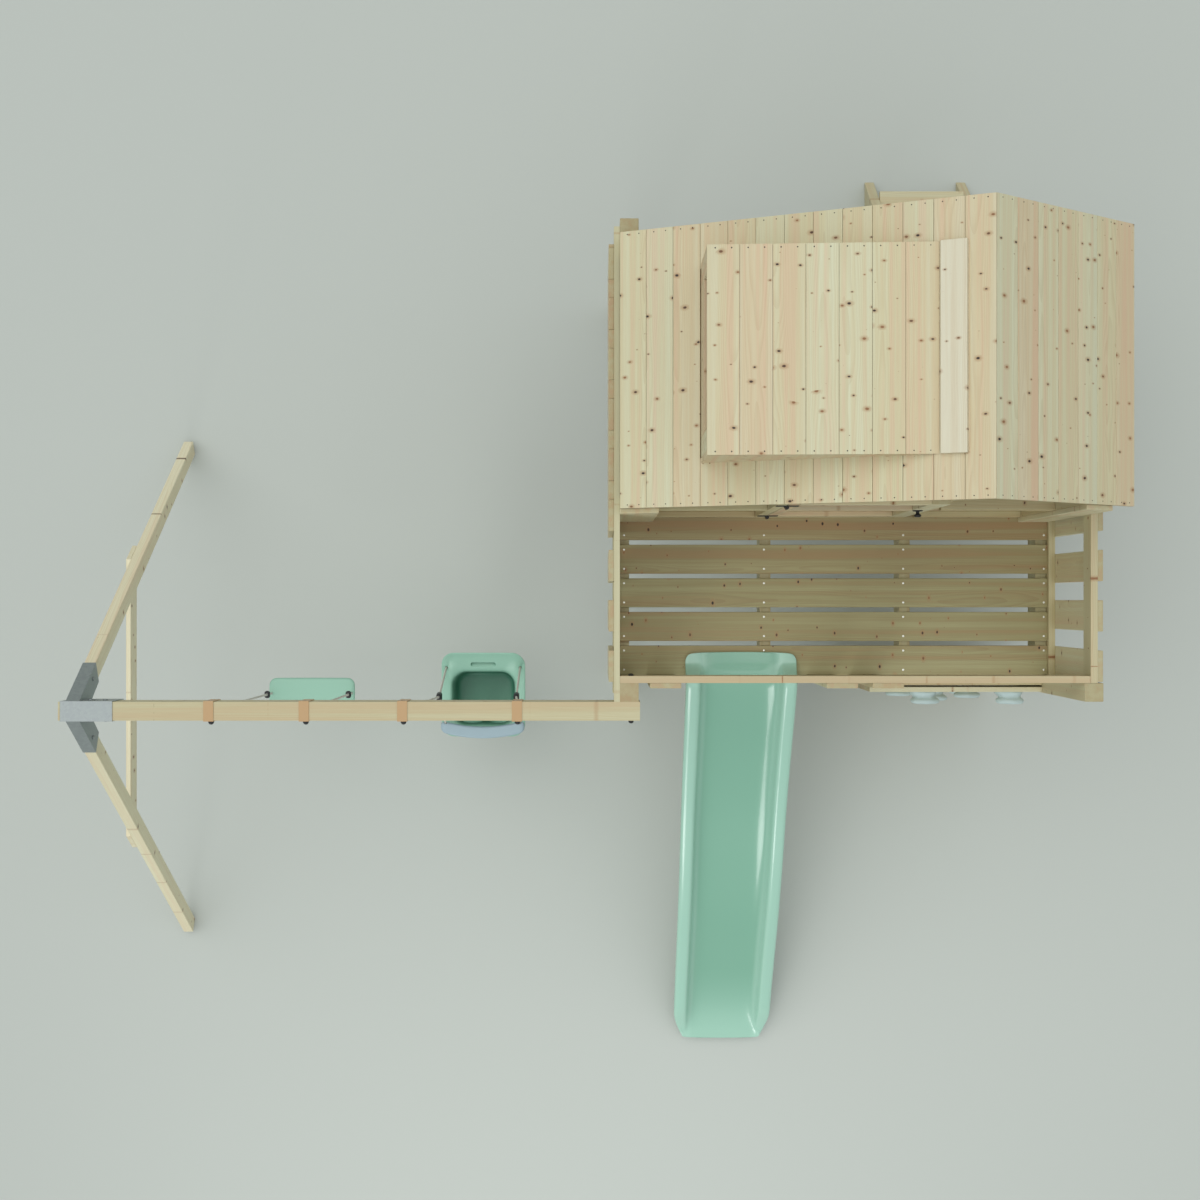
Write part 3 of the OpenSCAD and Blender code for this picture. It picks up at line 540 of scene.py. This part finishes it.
def dress(node, material, ease, segments=2):
    """Gives a CAD part its material and rounds its edges."""
    part = frame["nodes"][node]
    part.data.materials.clear()
    part.data.materials.append(material)
    weld = part.modifiers.new("weld", "WELD")
    weld.merge_threshold = WELD
    rounding = part.modifiers.new("rounding", "BEVEL")
    rounding.width = ease * MM
    rounding.segments = segments
    rounding.limit_method = "ANGLE"
    rounding.angle_limit = math.radians(35)
    print(node, "dressed in", material.name)


dress("beam_bracket", GALVANISED, 0.8)
dress("hinge_fixed", BLACK_STEEL, 0.5)
dress("hinge_door", BLACK_STEEL, 0.5)
dress("hangers", AMBER, 0.8)


def turned(name, profile, places, direction, material, body, steps=32):
    """A round piece turned from a profile of (radius, height) points, one at each place."""
    bm = bmesh.new()
    turn = Vector((0, 0, 1)).rotation_difference(Vector(direction)).to_matrix().to_4x4()
    for place in places:
        rings = []
        for r, h in profile:
            if r < 1e-6:
                rings.append([bm.verts.new((0, 0, h))])
            else:
                rings.append([bm.verts.new((r * math.cos(2 * math.pi * k / steps),
                                            r * math.sin(2 * math.pi * k / steps), h)) for k in range(steps)])
        for a, b in zip(rings, rings[1:]):
            for k in range(steps):
                k2 = (k + 1) % steps
                if len(a) == 1:
                    bm.faces.new((a[0], b[k], b[k2]))
                elif len(b) == 1:
                    bm.faces.new((a[k], b[0], a[k2]))
                else:
                    bm.faces.new((a[k], a[k2], b[k2], b[k]))
        fresh = [v for ring in rings for v in ring]
        bmesh.ops.transform(bm, matrix=Matrix.Translation(place) @ turn, verts=fresh)
    return make_piece(name, bm, material, body, smooth=True)


def dome(radius, height, brim=0.0):
    """Profile of a domed cap with a short upright brim and a closed back."""
    points = [(0, 0), (radius, 0), (radius, brim)]
    for k in range(1, 8):
        a = math.pi / 2 * k / 7
        points.append((radius * math.cos(a), brim + (height - brim) * math.sin(a)))
    points[-1] = (0, height)
    return points


beam_y, hang_x = -0.070, (-1.566, -1.211, -0.845, -0.418)
bolt_x, bolt_heights, cap_z = 0.007, (1.728, 1.776), 1.755
caps = turned("beam_bolt_caps_south", dome(10 * MM, 12 * MM, 3 * MM),
              [Vector((bolt_x, -0.105, z)) for z in bolt_heights], SOUTH, BLACK_PP, "frame")
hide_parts("beam_bolts")
caps = turned("beam_bolt_caps_north", dome(10 * MM, 7 * MM, 2 * MM),
              [Vector((bolt_x, 0.061, z)) for z in bolt_heights], NORTH, BLACK_PP, "frame")
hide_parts("beam_bolts")
caps = turned("hanger_cap_domes", dome(11 * MM, 15 * MM, 4 * MM),
              [Vector((x, -0.108, cap_z)) for x in hang_x], SOUTH, BLACK_PP, "frame")
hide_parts("hanger_caps")
for side in (-1, 1):
    heads = turned("bracket_screws_" + ("south" if side < 0 else "north"), dome(9 * MM, 5.5 * MM, 1.5 * MM),
                   [Vector((x, beam_y + side * 0.038, 1.745)) for x in (-1.965, -2.020)], (0, side, 0),
                   GALVANISED, "frame", 20)
    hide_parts("bracket_bolts")
for x, way in ((-2.100, -1), (-2.049, 1)):
    heads = turned("leg_screws_" + ("west" if way < 0 else "east"), dome(9 * MM, 5.5 * MM, 1.5 * MM),
                   [Vector((x, beam_y + side * 0.112, 1.620)) for side in (-1, 1)], (way, 0, 0),
                   GALVANISED, "frame", 20)
    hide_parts("bracket_bolts")
knob = turned("door_pull", [(0, 0), (19 * MM, 0), (19 * MM, 3 * MM), (17 * MM, 4 * MM), (7 * MM, 5 * MM),
                            (6.3 * MM, 9 * MM), (7 * MM, 13 * MM), (12 * MM, 16 * MM), (14 * MM, 20 * MM),
                            (12.5 * MM, 24 * MM), (7 * MM, 26 * MM), (0, 26 * MM)],
              [Vector((1.081, 0.680, 1.756))], SOUTH, BLACK_PP, "door")
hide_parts("door_knob")

# %% [markdown]
# Deck screws are countersunk, two to a board over each joist, 20 mm in from the board's edges. They are the
# brightest dots on the deck. The roof's boards are held by small dark nails, two to a board at each end.

# %% Screws and nails
DECK_TOP = 1.2
first_board, pitch, width = 0.0395, 0.1373, 0.1185
SCREW_INSET, NAIL_INSET = 20 * MM, 12 * MM
hatch_row, hatch_x = 11, 1.159  # the last board stops here, at the ladder's opening
heads = []
for row in range(12):
    for joist in (-0.011, 0.560, 1.128, 1.702):
        if row == hatch_row and joist > hatch_x:
            continue
        for edge in (SCREW_INSET, width - SCREW_INSET):
            heads.append(Vector((joist, first_board + row * pitch + edge, DECK_TOP)))
heads += [Vector((x, 0.094, DECK_TOP + 13.5 * MM)) for x in (0.280, 0.650)]  # through the slide's head
turned("deck_screws", dome(4.5 * MM, 1.1 * MM), heads, (0, 0, 1), SCREW, "frame", 12)
print(len(heads), "deck screws")


def nail_rows(name, start, end, first_x, last_x, count, inset, rows, size):
    """Nails in rows across a slope. Start and end are (x, z) points of the slope's line."""
    fall = (end[1] - start[1]) / (end[0] - start[0])
    step = (last_x - first_x) / count
    nails = [Vector((x, y, start[1] + (x - start[0]) * fall)) for i in range(count)
             for x in (first_x + (i + inset) * step, first_x + (i + 1 - inset) * step) for y in rows]
    turned(name, dome(*size), nails, (-fall, 0, 1), BLACK_STEEL, "frame", 10)


low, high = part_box("dormer_roof")
nail_rows("dormer_nails", (0.2535, 2.353), (1.036, 2.403), low[0], high[0], 7, 0.25,
          (low[1] + NAIL_INSET, high[1] - NAIL_INSET), (2.6 * MM, 0.7 * MM))
west_eave, ridge, east_eave, gable_ends = (-0.036, 1.886), (1.205, 2.485), (1.811, 2.015), (0.692, 1.682)
nail = (2.2 * MM, 0.6 * MM)
nail_rows("west_roof_nails", west_eave, ridge, west_eave[0], ridge[0], 13, 0.28, gable_ends, nail)
nail_rows("east_roof_nails", ridge, east_eave, ridge[0], east_eave[0], 7, 0.28, gable_ends, nail)

# %% [markdown]
# ## Slide
# A channel between two rounded sides, in one gentle wave. The section is the same all the way; the sides
# sink into the flat head on the deck and into the foot. It is lofted along the bed's line and smoothed.

# %% Slide
# (y, z) points of the bed's line in millimetres, from the head down to the foot. The first and last only
# steer the curve's ends.
WAVE = [(150, 1213), (133, 1213), (65, 1213), (5, 1206), (-110, 1130), (-330, 964), (-560, 806), (-800, 668),
        (-1040, 512), (-1270, 336), (-1450, 200), (-1580, 112), (-1680, 66), (-1744, 52), (-1790, 48)]
SLIDE_MID, HALF, RISE = 0.4645, 0.2265, 0.075  # the slide's middle, its half width, how high its sides stand
BED_SHADE_FADE_START, BED_SHADE_FADE_END = 0.138, 0.164  # out from the middle: where the painted shade on the bed starts to fade, and where the rim has none


def spline(a, b, c, d, t):
    """A smooth line from b to c that also looks at its neighbours."""
    return 0.5 * (2 * b + (c - a) * t + (2 * a - 5 * b + 4 * c - d) * t * t
                  + (3 * b - a - 3 * c + d) * t ** 3)


def bed_line(steps):
    """The bed's line as many short steps."""
    points = []
    for i in range(1, len(WAVE) - 2):
        for k in range(steps):
            t = k / steps
            points.append(tuple(spline(*[WAVE[i + j][axis] for j in (-1, 0, 1, 2)], t) * MM
                                for axis in (0, 1)))
    points.append((WAVE[-2][0] * MM, WAVE[-2][1] * MM))
    return points


def section(rise, narrow):
    """Half of the slide's section, from the middle of the bed out and round to underneath."""
    w = HALF - narrow
    s = rise / RISE
    return [(0.0, 0.0), (0.06, 0.0005), (0.105, 0.0015), (0.136, 0.007 * s + 0.0015), (0.154, 0.022 * s),
            (0.163, 0.045 * s), (0.168, 0.064 * s), (0.177, 0.0745 * s), (0.190, 0.075 * s),
            (w - 0.018, 0.075 * s), (w - 0.006, 0.071 * s), (w, 0.060 * s), (w, 0.025 * s),
            (w - 0.001, -0.002), (w - 0.004, -0.0075), (w - 0.016, -0.008), (0.12, -0.008), (0.0, -0.008)]


def soften(piece, levels):
    """Rounds a piece by dividing its faces."""
    smooth = piece.modifiers.new("smooth", "SUBSURF")
    smooth.levels = smooth.render_levels = levels


def ease_in(t):
    """Goes from 0 to 1 with level ends."""
    t = max(0.0, min(1.0, t))
    return t * t * (3 - 2 * t)


bm = bmesh.new()
bed_shade_layer = bm.verts.layers.float.new("painted_bed_shade")
rings = []
line = bed_line(4)
foot_y = line[-1][0]
for y, z in line:
    rise = RISE * max(0.02, min(ease_in((y - foot_y) / 0.19), ease_in((0.092 - y) / 0.085)))
    narrow = (0.050 * max(0.0, (0.135 - (y - foot_y)) / 0.135) ** 1.5
              + 0.030 * max(0.0, (y - 0.103) / 0.030) ** 2)
    half = section(rise, narrow)
    ring = [(x, h) for x, h in half] + [(-x, h) for x, h in half[-2:0:-1]]
    rings.append([bm.verts.new((SLIDE_MID + x, y, z + h)) for x, h in ring])
    # Painted shade on the bed: full up the slope, weaker towards the foot, gone on the rims.
    bed_shade_strength = 0.3 + 0.7 * ease_in((y - foot_y) / 0.40)
    for vert, (x, h) in zip(rings[-1], ring):
        vert[bed_shade_layer] = bed_shade_strength * (1.0 - ease_in((abs(x) - BED_SHADE_FADE_START) / (BED_SHADE_FADE_END - BED_SHADE_FADE_START)))
for a, b in zip(rings, rings[1:]):
    for k in range(len(a)):
        k2 = (k + 1) % len(a)
        bm.faces.new((a[k], b[k], b[k2], a[k2]))
bm.faces.new(rings[0][::-1])
bm.faces.new(rings[-1])
slide = make_piece("slide_moulding", bm, SLIDE_PE, "frame", smooth=True)
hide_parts("slide")
soften(slide, 2)
print("slide", len(rings), "rings")

# %% [markdown]
# ## Rope
# Three strands laid together, 10 mm across, with a lay of about 34 mm. Each strand is a small round tube
# that winds round the rope's middle line.

# %% Rope
ROPE_D, LAY = 10 * MM, 34 * MM
rope_m = new_material("laid_polyethylene_rope")
where = add(rope_m, "ShaderNodeTexCoord").outputs["Object"]
yarn = add(rope_m, "ShaderNodeTexNoise", None, Vector=where, Scale=1 / (1.2 * MM),
           Detail=2.0).outputs["Fac"]
thread = ramp(rope_m, yarn, [(0.3, "#A9AA9E"), (0.7, "#D6D6CC")])
fuzz = add(rope_m, "ShaderNodeBump", None, Strength=0.5, Distance=0.0005, Height=yarn).outputs[0]
ROPE = finish_material(rope_m, Base_Color=thread, Roughness=0.75, Normal=fuzz)


def laid_rope(bm, start, end, sides=6):
    """Three strands wound from start to end."""
    start, end = Vector(start), Vector(end)
    axis = end - start
    length = axis.length
    axis.normalize()
    across = axis.orthogonal().normalized()
    up = axis.cross(across)
    steps = max(4, int(length / LAY * 9))
    strand, wind = ROPE_D * 0.27, ROPE_D * 0.23
    for number in range(3):
        rings = []
        for i in range(steps + 1):
            turn = 2 * math.pi * (length * i / steps / LAY + number / 3)
            out = across * math.cos(turn) + up * math.sin(turn)
            middle = start + axis * (length * i / steps) + out * wind
            rings.append([bm.verts.new(middle + out.cross(axis) * strand * math.sin(2 * math.pi * k / sides)
                                       + out * strand * math.cos(2 * math.pi * k / sides))
                          for k in range(sides)])
        for a, b in zip(rings, rings[1:]):
            for k in range(sides):
                bm.faces.new((a[k], a[(k + 1) % sides], b[(k + 1) % sides], b[k]))
        bm.faces.new(rings[0][::-1])
        bm.faces.new(rings[-1])


# Heights: the hangers' pins, the flat seat, the toddler seat's rim, and where each of its ropes splits.
PIVOT_Z, SEAT_Z, RIM_Z, SPLIT_Z = 1.648, 0.600, 0.530, 0.880
EYE_DROP = 8 * MM  # a rope's straight run ends this far under its pin
ROPE_OUT, REAR_Y, FRONT_Y = 0.165, 0.044, -0.225  # the toddler seat's four ropes
baby_x = (hang_x[2] + hang_x[3]) / 2


def eye_ring(bm, x, inner=5.2 * MM, wire=3.6 * MM):
    """A rope end turned round a thimble on the hanger's pin."""
    mid = inner + wire
    rings = []
    for i in range(24):
        a = 2 * math.pi * i / 24
        out = Vector((0, math.cos(a), math.sin(a)))
        centre = Vector((x, beam_y, PIVOT_Z)) + out * mid
        rings.append([bm.verts.new(centre + out * wire * math.cos(b)
                                   + Vector((wire * 1.3 * math.sin(b), 0, 0)))
                      for b in [2 * math.pi * k / 8 for k in range(8)]])
    for i in range(24):
        a, b = rings[i], rings[(i + 1) % 24]
        for k in range(8):
            bm.faces.new((a[k], a[(k + 1) % 8], b[(k + 1) % 8], b[k]))


def rope_piece(name, body, replaced, runs, eyes=(), knots=()):
    """Straight runs of laid rope with their eyes and knots, as one piece."""
    bm = bmesh.new()
    total = 0
    for start, end in runs:
        laid_rope(bm, start, end)
        total += (Vector(end) - Vector(start)).length
    for x in eyes:
        eye_ring(bm, x)
    for place in knots:
        made = bmesh.ops.create_icosphere(bm, subdivisions=3, radius=11 * MM)["verts"]
        for vert in made:
            swell = 1 + 0.16 * math.sin(5 * math.atan2(vert.co.y, vert.co.x) + vert.co.z * 400)
            vert.co = Vector(place) + Vector((vert.co.x * swell, vert.co.y * swell, vert.co.z * 0.85))
    piece = make_piece(name, bm, ROPE, body, smooth=True)
    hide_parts(replaced)
    print(name, round(total, 3), "m of rope,", len(piece.data.polygons), "faces")


rope_piece("flat_swing_rope", "flat_swing", "flat_ropes",
           [((x, beam_y, SEAT_Z - 0.014), (x, beam_y, PIVOT_Z - EYE_DROP)) for x in hang_x[:2]],
           eyes=hang_x[:2], knots=[(x, beam_y, SEAT_Z - 0.022) for x in hang_x[:2]])
splits = {side: Vector((baby_x + side * ROPE_OUT, beam_y, SPLIT_Z)) for side in (-1, 1)}
rope_piece("toddler_swing_rope", "baby_swing", "baby_ropes",
           [(splits[side], (x, beam_y, PIVOT_Z - EYE_DROP)) for side, x in ((-1, hang_x[2]), (1, hang_x[3]))],
           eyes=hang_x[2:])
corners = {(side, y): Vector((baby_x + side * ROPE_OUT, y, RIM_Z)) for side in (-1, 1)
           for y in (REAR_Y, FRONT_Y)}
bridles = []
for (side, y), corner in corners.items():
    way = (corner - splits[side]).normalized()
    bridles += [(corner, splits[side] + way * 0.017),
                (corner - Vector((0, 0, 0.014)), corner + Vector((0, 0, 0.001)))]
rope_piece("toddler_swing_bridles", "baby_swing", "baby_bridles", bridles,
           knots=[c - Vector((0, 0, 0.022)) for c in corners.values()])

# %% [markdown]
# ## Seats
# The flat seat is a soft rounded plate with a turned-down rim. The toddler seat is a deep bucket with two
# leg holes, a rolled rim, and a back that leans out and has a hand slot.

# %% Flat seat


def rounded(half_x, half_y, corner, count):
    """Points round a rectangle with round corners, starting at the middle of the +X side."""
    points = []
    for cx, cy, start in ((1, 1, 0), (-1, 1, 90), (-1, -1, 180), (1, -1, 270)):
        for k in range(count):
            a = math.radians(start + 90 * k / (count - 1))
            points.append((cx * (half_x - corner) + corner * math.cos(a),
                           cy * (half_y - corner) + corner * math.sin(a)))
    return points


def loft(bm, levels, close_first=False, close_last=False):
    """Joins rings of points one to the next."""
    rings = [[bm.verts.new(p) for p in level] for level in levels]
    for a, b in zip(rings, rings[1:]):
        for k in range(len(a)):
            k2 = (k + 1) % len(a)
            bm.faces.new((a[k], a[k2], b[k2], b[k]))
    if close_first:
        bm.faces.new(rings[0][::-1])
    if close_last:
        bm.faces.new(rings[-1])
    return rings


def ring_at(middle, half_x, half_y, corner, z, count=7):
    """A rounded rectangle round a middle, level at one height."""
    return [(middle[0] + x, middle[1] + y, z) for x, y in rounded(half_x, half_y, corner, count)]


seat_mid = ((hang_x[0] + hang_x[1]) / 2, beam_y)
bm = bmesh.new()
# Rings over the top, round the rim and back underneath: half width, half depth, corner, height.
outline = [(0.100, 0.010, 0.009, 0.000), (0.163, 0.046, 0.024, 0.0005), (0.181, 0.060, 0.031, -0.001),
           (0.1885, 0.067, 0.033, -0.0045), (0.1905, 0.069, 0.034, -0.010), (0.1895, 0.068, 0.034, -0.014),
           (0.184, 0.0625, 0.031, -0.0135), (0.180, 0.0585, 0.030, -0.0075), (0.100, 0.010, 0.009, -0.0065)]
loft(bm, [ring_at(seat_mid, hx, hy, c, SEAT_Z + z) for hx, hy, c, z in outline], True, True)
seat = make_piece("flat_swing_seat", bm, SEAT_PE, "flat_swing", smooth=True)
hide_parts("flat_seat")
soften(seat, 2)

# %% Toddler seat
BACK_RISE, BACK_FROM, BACK_OVER = 0.074, 0.046, 0.065  # the rim climbs at the back
LEG_HOLE, ROPE_HOLE = 54 * MM, 6.8 * MM  # radii

bm = bmesh.new()
# Rings up the outside, over the rim and down the inside: half width, half depth, middle, corner, height.
levels = [(0.060, 0.050, -0.088, 0.040, -0.210), (0.135, 0.115, -0.088, 0.068, -0.209),
          (0.150, 0.132, -0.088, 0.072, -0.200), (0.1545, 0.1385, -0.087, 0.072, -0.180),
          (0.155, 0.140, -0.086, 0.070, -0.030), (0.162, 0.147, -0.085, 0.068, -0.014),
          (0.180, 0.181, -0.080, 0.062, -0.0125), (0.187, 0.189, -0.079, 0.060, -0.010),
          (0.188, 0.190, -0.079, 0.060, -0.005), (0.185, 0.187, -0.079, 0.058, 0.0),
          (0.172, 0.172, -0.080, 0.056, 0.001), (0.147, 0.127, -0.095, 0.060, -0.001),
          (0.137, 0.117, -0.096, 0.060, -0.010), (0.135, 0.115, -0.096, 0.060, -0.090),
          (0.131, 0.111, -0.096, 0.060, -0.180), (0.122, 0.102, -0.096, 0.058, -0.198),
          (0.060, 0.050, -0.096, 0.040, -0.2005)]
loft(bm, [ring_at((baby_x, my), hx, hy, c, RIM_Z + z, 9) for hx, hy, my, c, z in levels], True, True)
for vert in bm.verts:
    if vert.co.z > RIM_Z - 0.016:
        vert.co.z += BACK_RISE * max(0.0, min(1.0, (vert.co.y - BACK_FROM) / BACK_OVER)) ** 1.15
bucket = make_piece("toddler_seat_bucket", bm, SEAT_PE, "baby_swing", smooth=True)
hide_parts("baby_seat")
soften(bucket, 2)


def cutter(name, bm):
    """A shape used only to cut others."""
    mesh = bpy.data.meshes.new(name)
    bm.to_mesh(mesh)
    bm.free()
    tool = bpy.data.objects.new(name, mesh)
    bpy.context.collection.objects.link(tool)
    return tool


def carve(piece, tools):
    """Cuts the tools out of a piece for good, then throws them away."""
    for tool in tools:
        cut = piece.modifiers.new("cut", "BOOLEAN")
        cut.object = tool
        cut.solver = "EXACT"
    bpy.context.view_layer.update()
    shaped = bpy.data.meshes.new_from_object(piece.evaluated_get(bpy.context.evaluated_depsgraph_get()))
    piece.modifiers.clear()
    piece.data = shaped
    for tool in tools:
        bpy.data.objects.remove(tool)
    piece.data.shade_smooth()
    piece.data.set_sharp_from_angle(angle=math.radians(40))


def bore(name, middle, way, radius, depth):
    """A round cutter through a point."""
    bm = bmesh.new()
    made = bmesh.ops.create_cone(bm, cap_ends=True, segments=48, radius1=radius, radius2=radius,
                                 depth=depth)["verts"]
    turn = Vector((0, 0, 1)).rotation_difference(Vector(way)).to_matrix().to_4x4()
    bmesh.ops.transform(bm, matrix=Matrix.Translation(middle) @ turn, verts=made)
    return cutter(name, bm)


front_way = Vector((0, beam_y - FRONT_Y, SPLIT_Z - RIM_Z)).normalized()
rear_way = Vector((0, beam_y - REAR_Y, SPLIT_Z - RIM_Z)).normalized()
tools = []
for side in (-1, 1):
    tools.append(bore("leg_hole", (baby_x + side * 0.068, -0.215, RIM_Z - 0.128), NORTH, LEG_HOLE, 0.12))
    for y, way in ((REAR_Y, rear_way), (FRONT_Y, front_way)):
        tools.append(bore("rope_hole", (baby_x + side * ROPE_OUT, y, RIM_Z), way, ROPE_HOLE, 0.07))
bm = bmesh.new()
slot_z, slot_ends = RIM_Z + 0.019, (0.035, 0.130)
loft(bm, [[(baby_x + x, y, slot_z + z) for x, z in rounded(0.056, 0.009, 0.0088, 6)] for y in slot_ends],
     True, True)
bmesh.ops.recalc_face_normals(bm, faces=bm.faces)
tools.append(cutter("grip", bm))
carve(bucket, tools)

# %% Guard
GUARD_HALF, GUARD_Z, BOW = 0.187, RIM_Z + 0.043, 0.0275  # half its length, its height, how far it bows out

bm = bmesh.new()
levels = []
for i in range(33):
    u = -1 + i / 16
    end = 1 - 0.5 * max(0.0, (abs(u) - 0.90) / 0.10) ** 2  # thinner over the last tenth
    middle = -0.2185 - BOW * (1 - u * u)
    levels.append([(baby_x + u * GUARD_HALF, middle + end * x, GUARD_Z + end * z)
                   for x, z in rounded(0.0265, 0.0125, 0.0105, 5)])
loft(bm, levels, True, True)
guard = make_piece("toddler_seat_guard", bm, GUARD_PE, "guard", smooth=True)
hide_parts("baby_guard")
soften(guard, 1)
carve(guard, [bore("rope_hole", corners[side, FRONT_Y] + front_way * 0.045, front_way, ROPE_HOLE, 0.09)
              for side in (-1, 1)])

# %% [markdown]
# The rope adjusters are small moulded eggs of black nylon. The rope runs through a hole along each one; on
# the toddler swing one rope goes in at the top and two come out below.

# %% Rope adjusters


def egg(name, places, levels, body, node):
    """Rounded blocks lofted from (half width, half depth, corner, height) rings."""
    bm = bmesh.new()
    for place in places:
        loft(bm, [ring_at(place, hx, hy, c, place[2] + z, 6) for hx, hy, c, z in levels], True, True)
    piece = make_piece(name, bm, BLACK_PP, body, smooth=True)
    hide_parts(node)
    return piece


EGG_HOLE = 5.4 * MM
flat_places = [Vector((x, beam_y, SEAT_Z)) for x in hang_x[:2]]
block = egg("flat_swing_adjusters", flat_places,
            [(0.008, 0.011, 0.007, 0.090), (0.011, 0.0145, 0.009, 0.0925),
             (0.012, 0.016, 0.010, 0.0975), (0.012, 0.016, 0.010, 0.1045),
             (0.011, 0.0145, 0.009, 0.1095), (0.008, 0.011, 0.007, 0.112)],
            "flat_swing", "flat_adjusters")
carve(block, [bore("rope_hole", place + Vector((0, 0, 0.1)), UP, EGG_HOLE, 0.06) for place in flat_places])
block = egg("toddler_swing_adjusters", list(splits.values()),
            [(0.008, 0.016, 0.007, -0.026), (0.011, 0.019, 0.0095, -0.0235),
             (0.012, 0.020, 0.0105, -0.018), (0.012, 0.0185, 0.0105, -0.006),
             (0.0118, 0.015, 0.010, 0.006), (0.011, 0.0125, 0.0095, 0.0145),
             (0.009, 0.010, 0.008, 0.0185), (0.007, 0.008, 0.0065, 0.020)],
            "baby_swing", "baby_adjusters")
tools = [bore("rope_hole", split + Vector((0, 0, 0.030)), UP, EGG_HOLE, 0.056) for split in splits.values()]
for (side, y), corner in corners.items():
    way = (corner - splits[side]).normalized()
    tools.append(bore("rope_hole", splits[side] + way * 0.030, way, EGG_HOLE, 0.040))
carve(block, tools)

# %% [markdown]
# ## Climbing stones
# Each stone is cast in a gritty resin: a broad foot, a waist for the fingertips and a lumpy lip. One bolt in
# a recess holds it to the wall.

# %% Stones
WALL_FACE = -0.031
# The stones' places on the wall as (x, z) in millimetres, then one outline of (radius, height off the wall).
STONES = [(1221, 1134), (1572, 1136), (1300, 905), (1490, 700), (1215, 560), (1530, 395), (1290, 235)]
PROFILE = [(0.056, 0.0002), (0.056, 0.004), (0.0535, 0.010), (0.0465, 0.017), (0.0435, 0.023),
           (0.046, 0.028), (0.0535, 0.032), (0.0565, 0.037), (0.056, 0.043), (0.052, 0.049),
           (0.042, 0.0515), (0.028, 0.051), (0.016, 0.049), (0.0125, 0.046), (0.012, 0.038),
           (0.0, 0.0375)]
for number, (x, z) in enumerate(STONES):
    bm = bmesh.new()
    around, shift = 40, Vector((number * 7.3, 1.7, number * 3.1))
    rings = []
    for r, out in PROFILE:
        lean = 0.008 * ease_in(out / 0.04)
        ring = []
        for k in range(around):
            a = 2 * math.pi * k / around
            way = Vector((math.cos(a), out * 14, math.sin(a)))
            lumps = 0.15 * noise.noise(way * 1.3 + shift) + 0.05 * noise.noise(way * 3.2 + shift)
            reach = r * (1 + lumps * min(1, r / 0.04))
            ring.append(bm.verts.new((x * MM + lean + reach * math.cos(a), WALL_FACE - out,
                                      z * MM + reach * math.sin(a) * 0.94)))
        rings.append(ring)
    for a, b in zip(rings, rings[1:]):
        for k in range(around):
            bm.faces.new((a[k], a[(k + 1) % around], b[(k + 1) % around], b[k]))
    bm.faces.new(rings[0])
    bmesh.ops.remove_doubles(bm, verts=rings[-1], dist=0.1 * MM)
    stone = make_piece(f"climbing_stone_{number + 1}", bm, STONE_PP, "frame", smooth=True)
    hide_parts("climb_stones")
turned("climbing_stone_bolts", [(0, 0), (9 * MM, 0), (9 * MM, 5 * MM), (8 * MM, 6.5 * MM),
                                (4.5 * MM, 6.5 * MM), (4 * MM, 3 * MM), (0, 3 * MM)],
       [Vector((x * MM + 0.008, -0.0685, z * MM)) for x, z in STONES], SOUTH, SCREW, "frame",
       24)
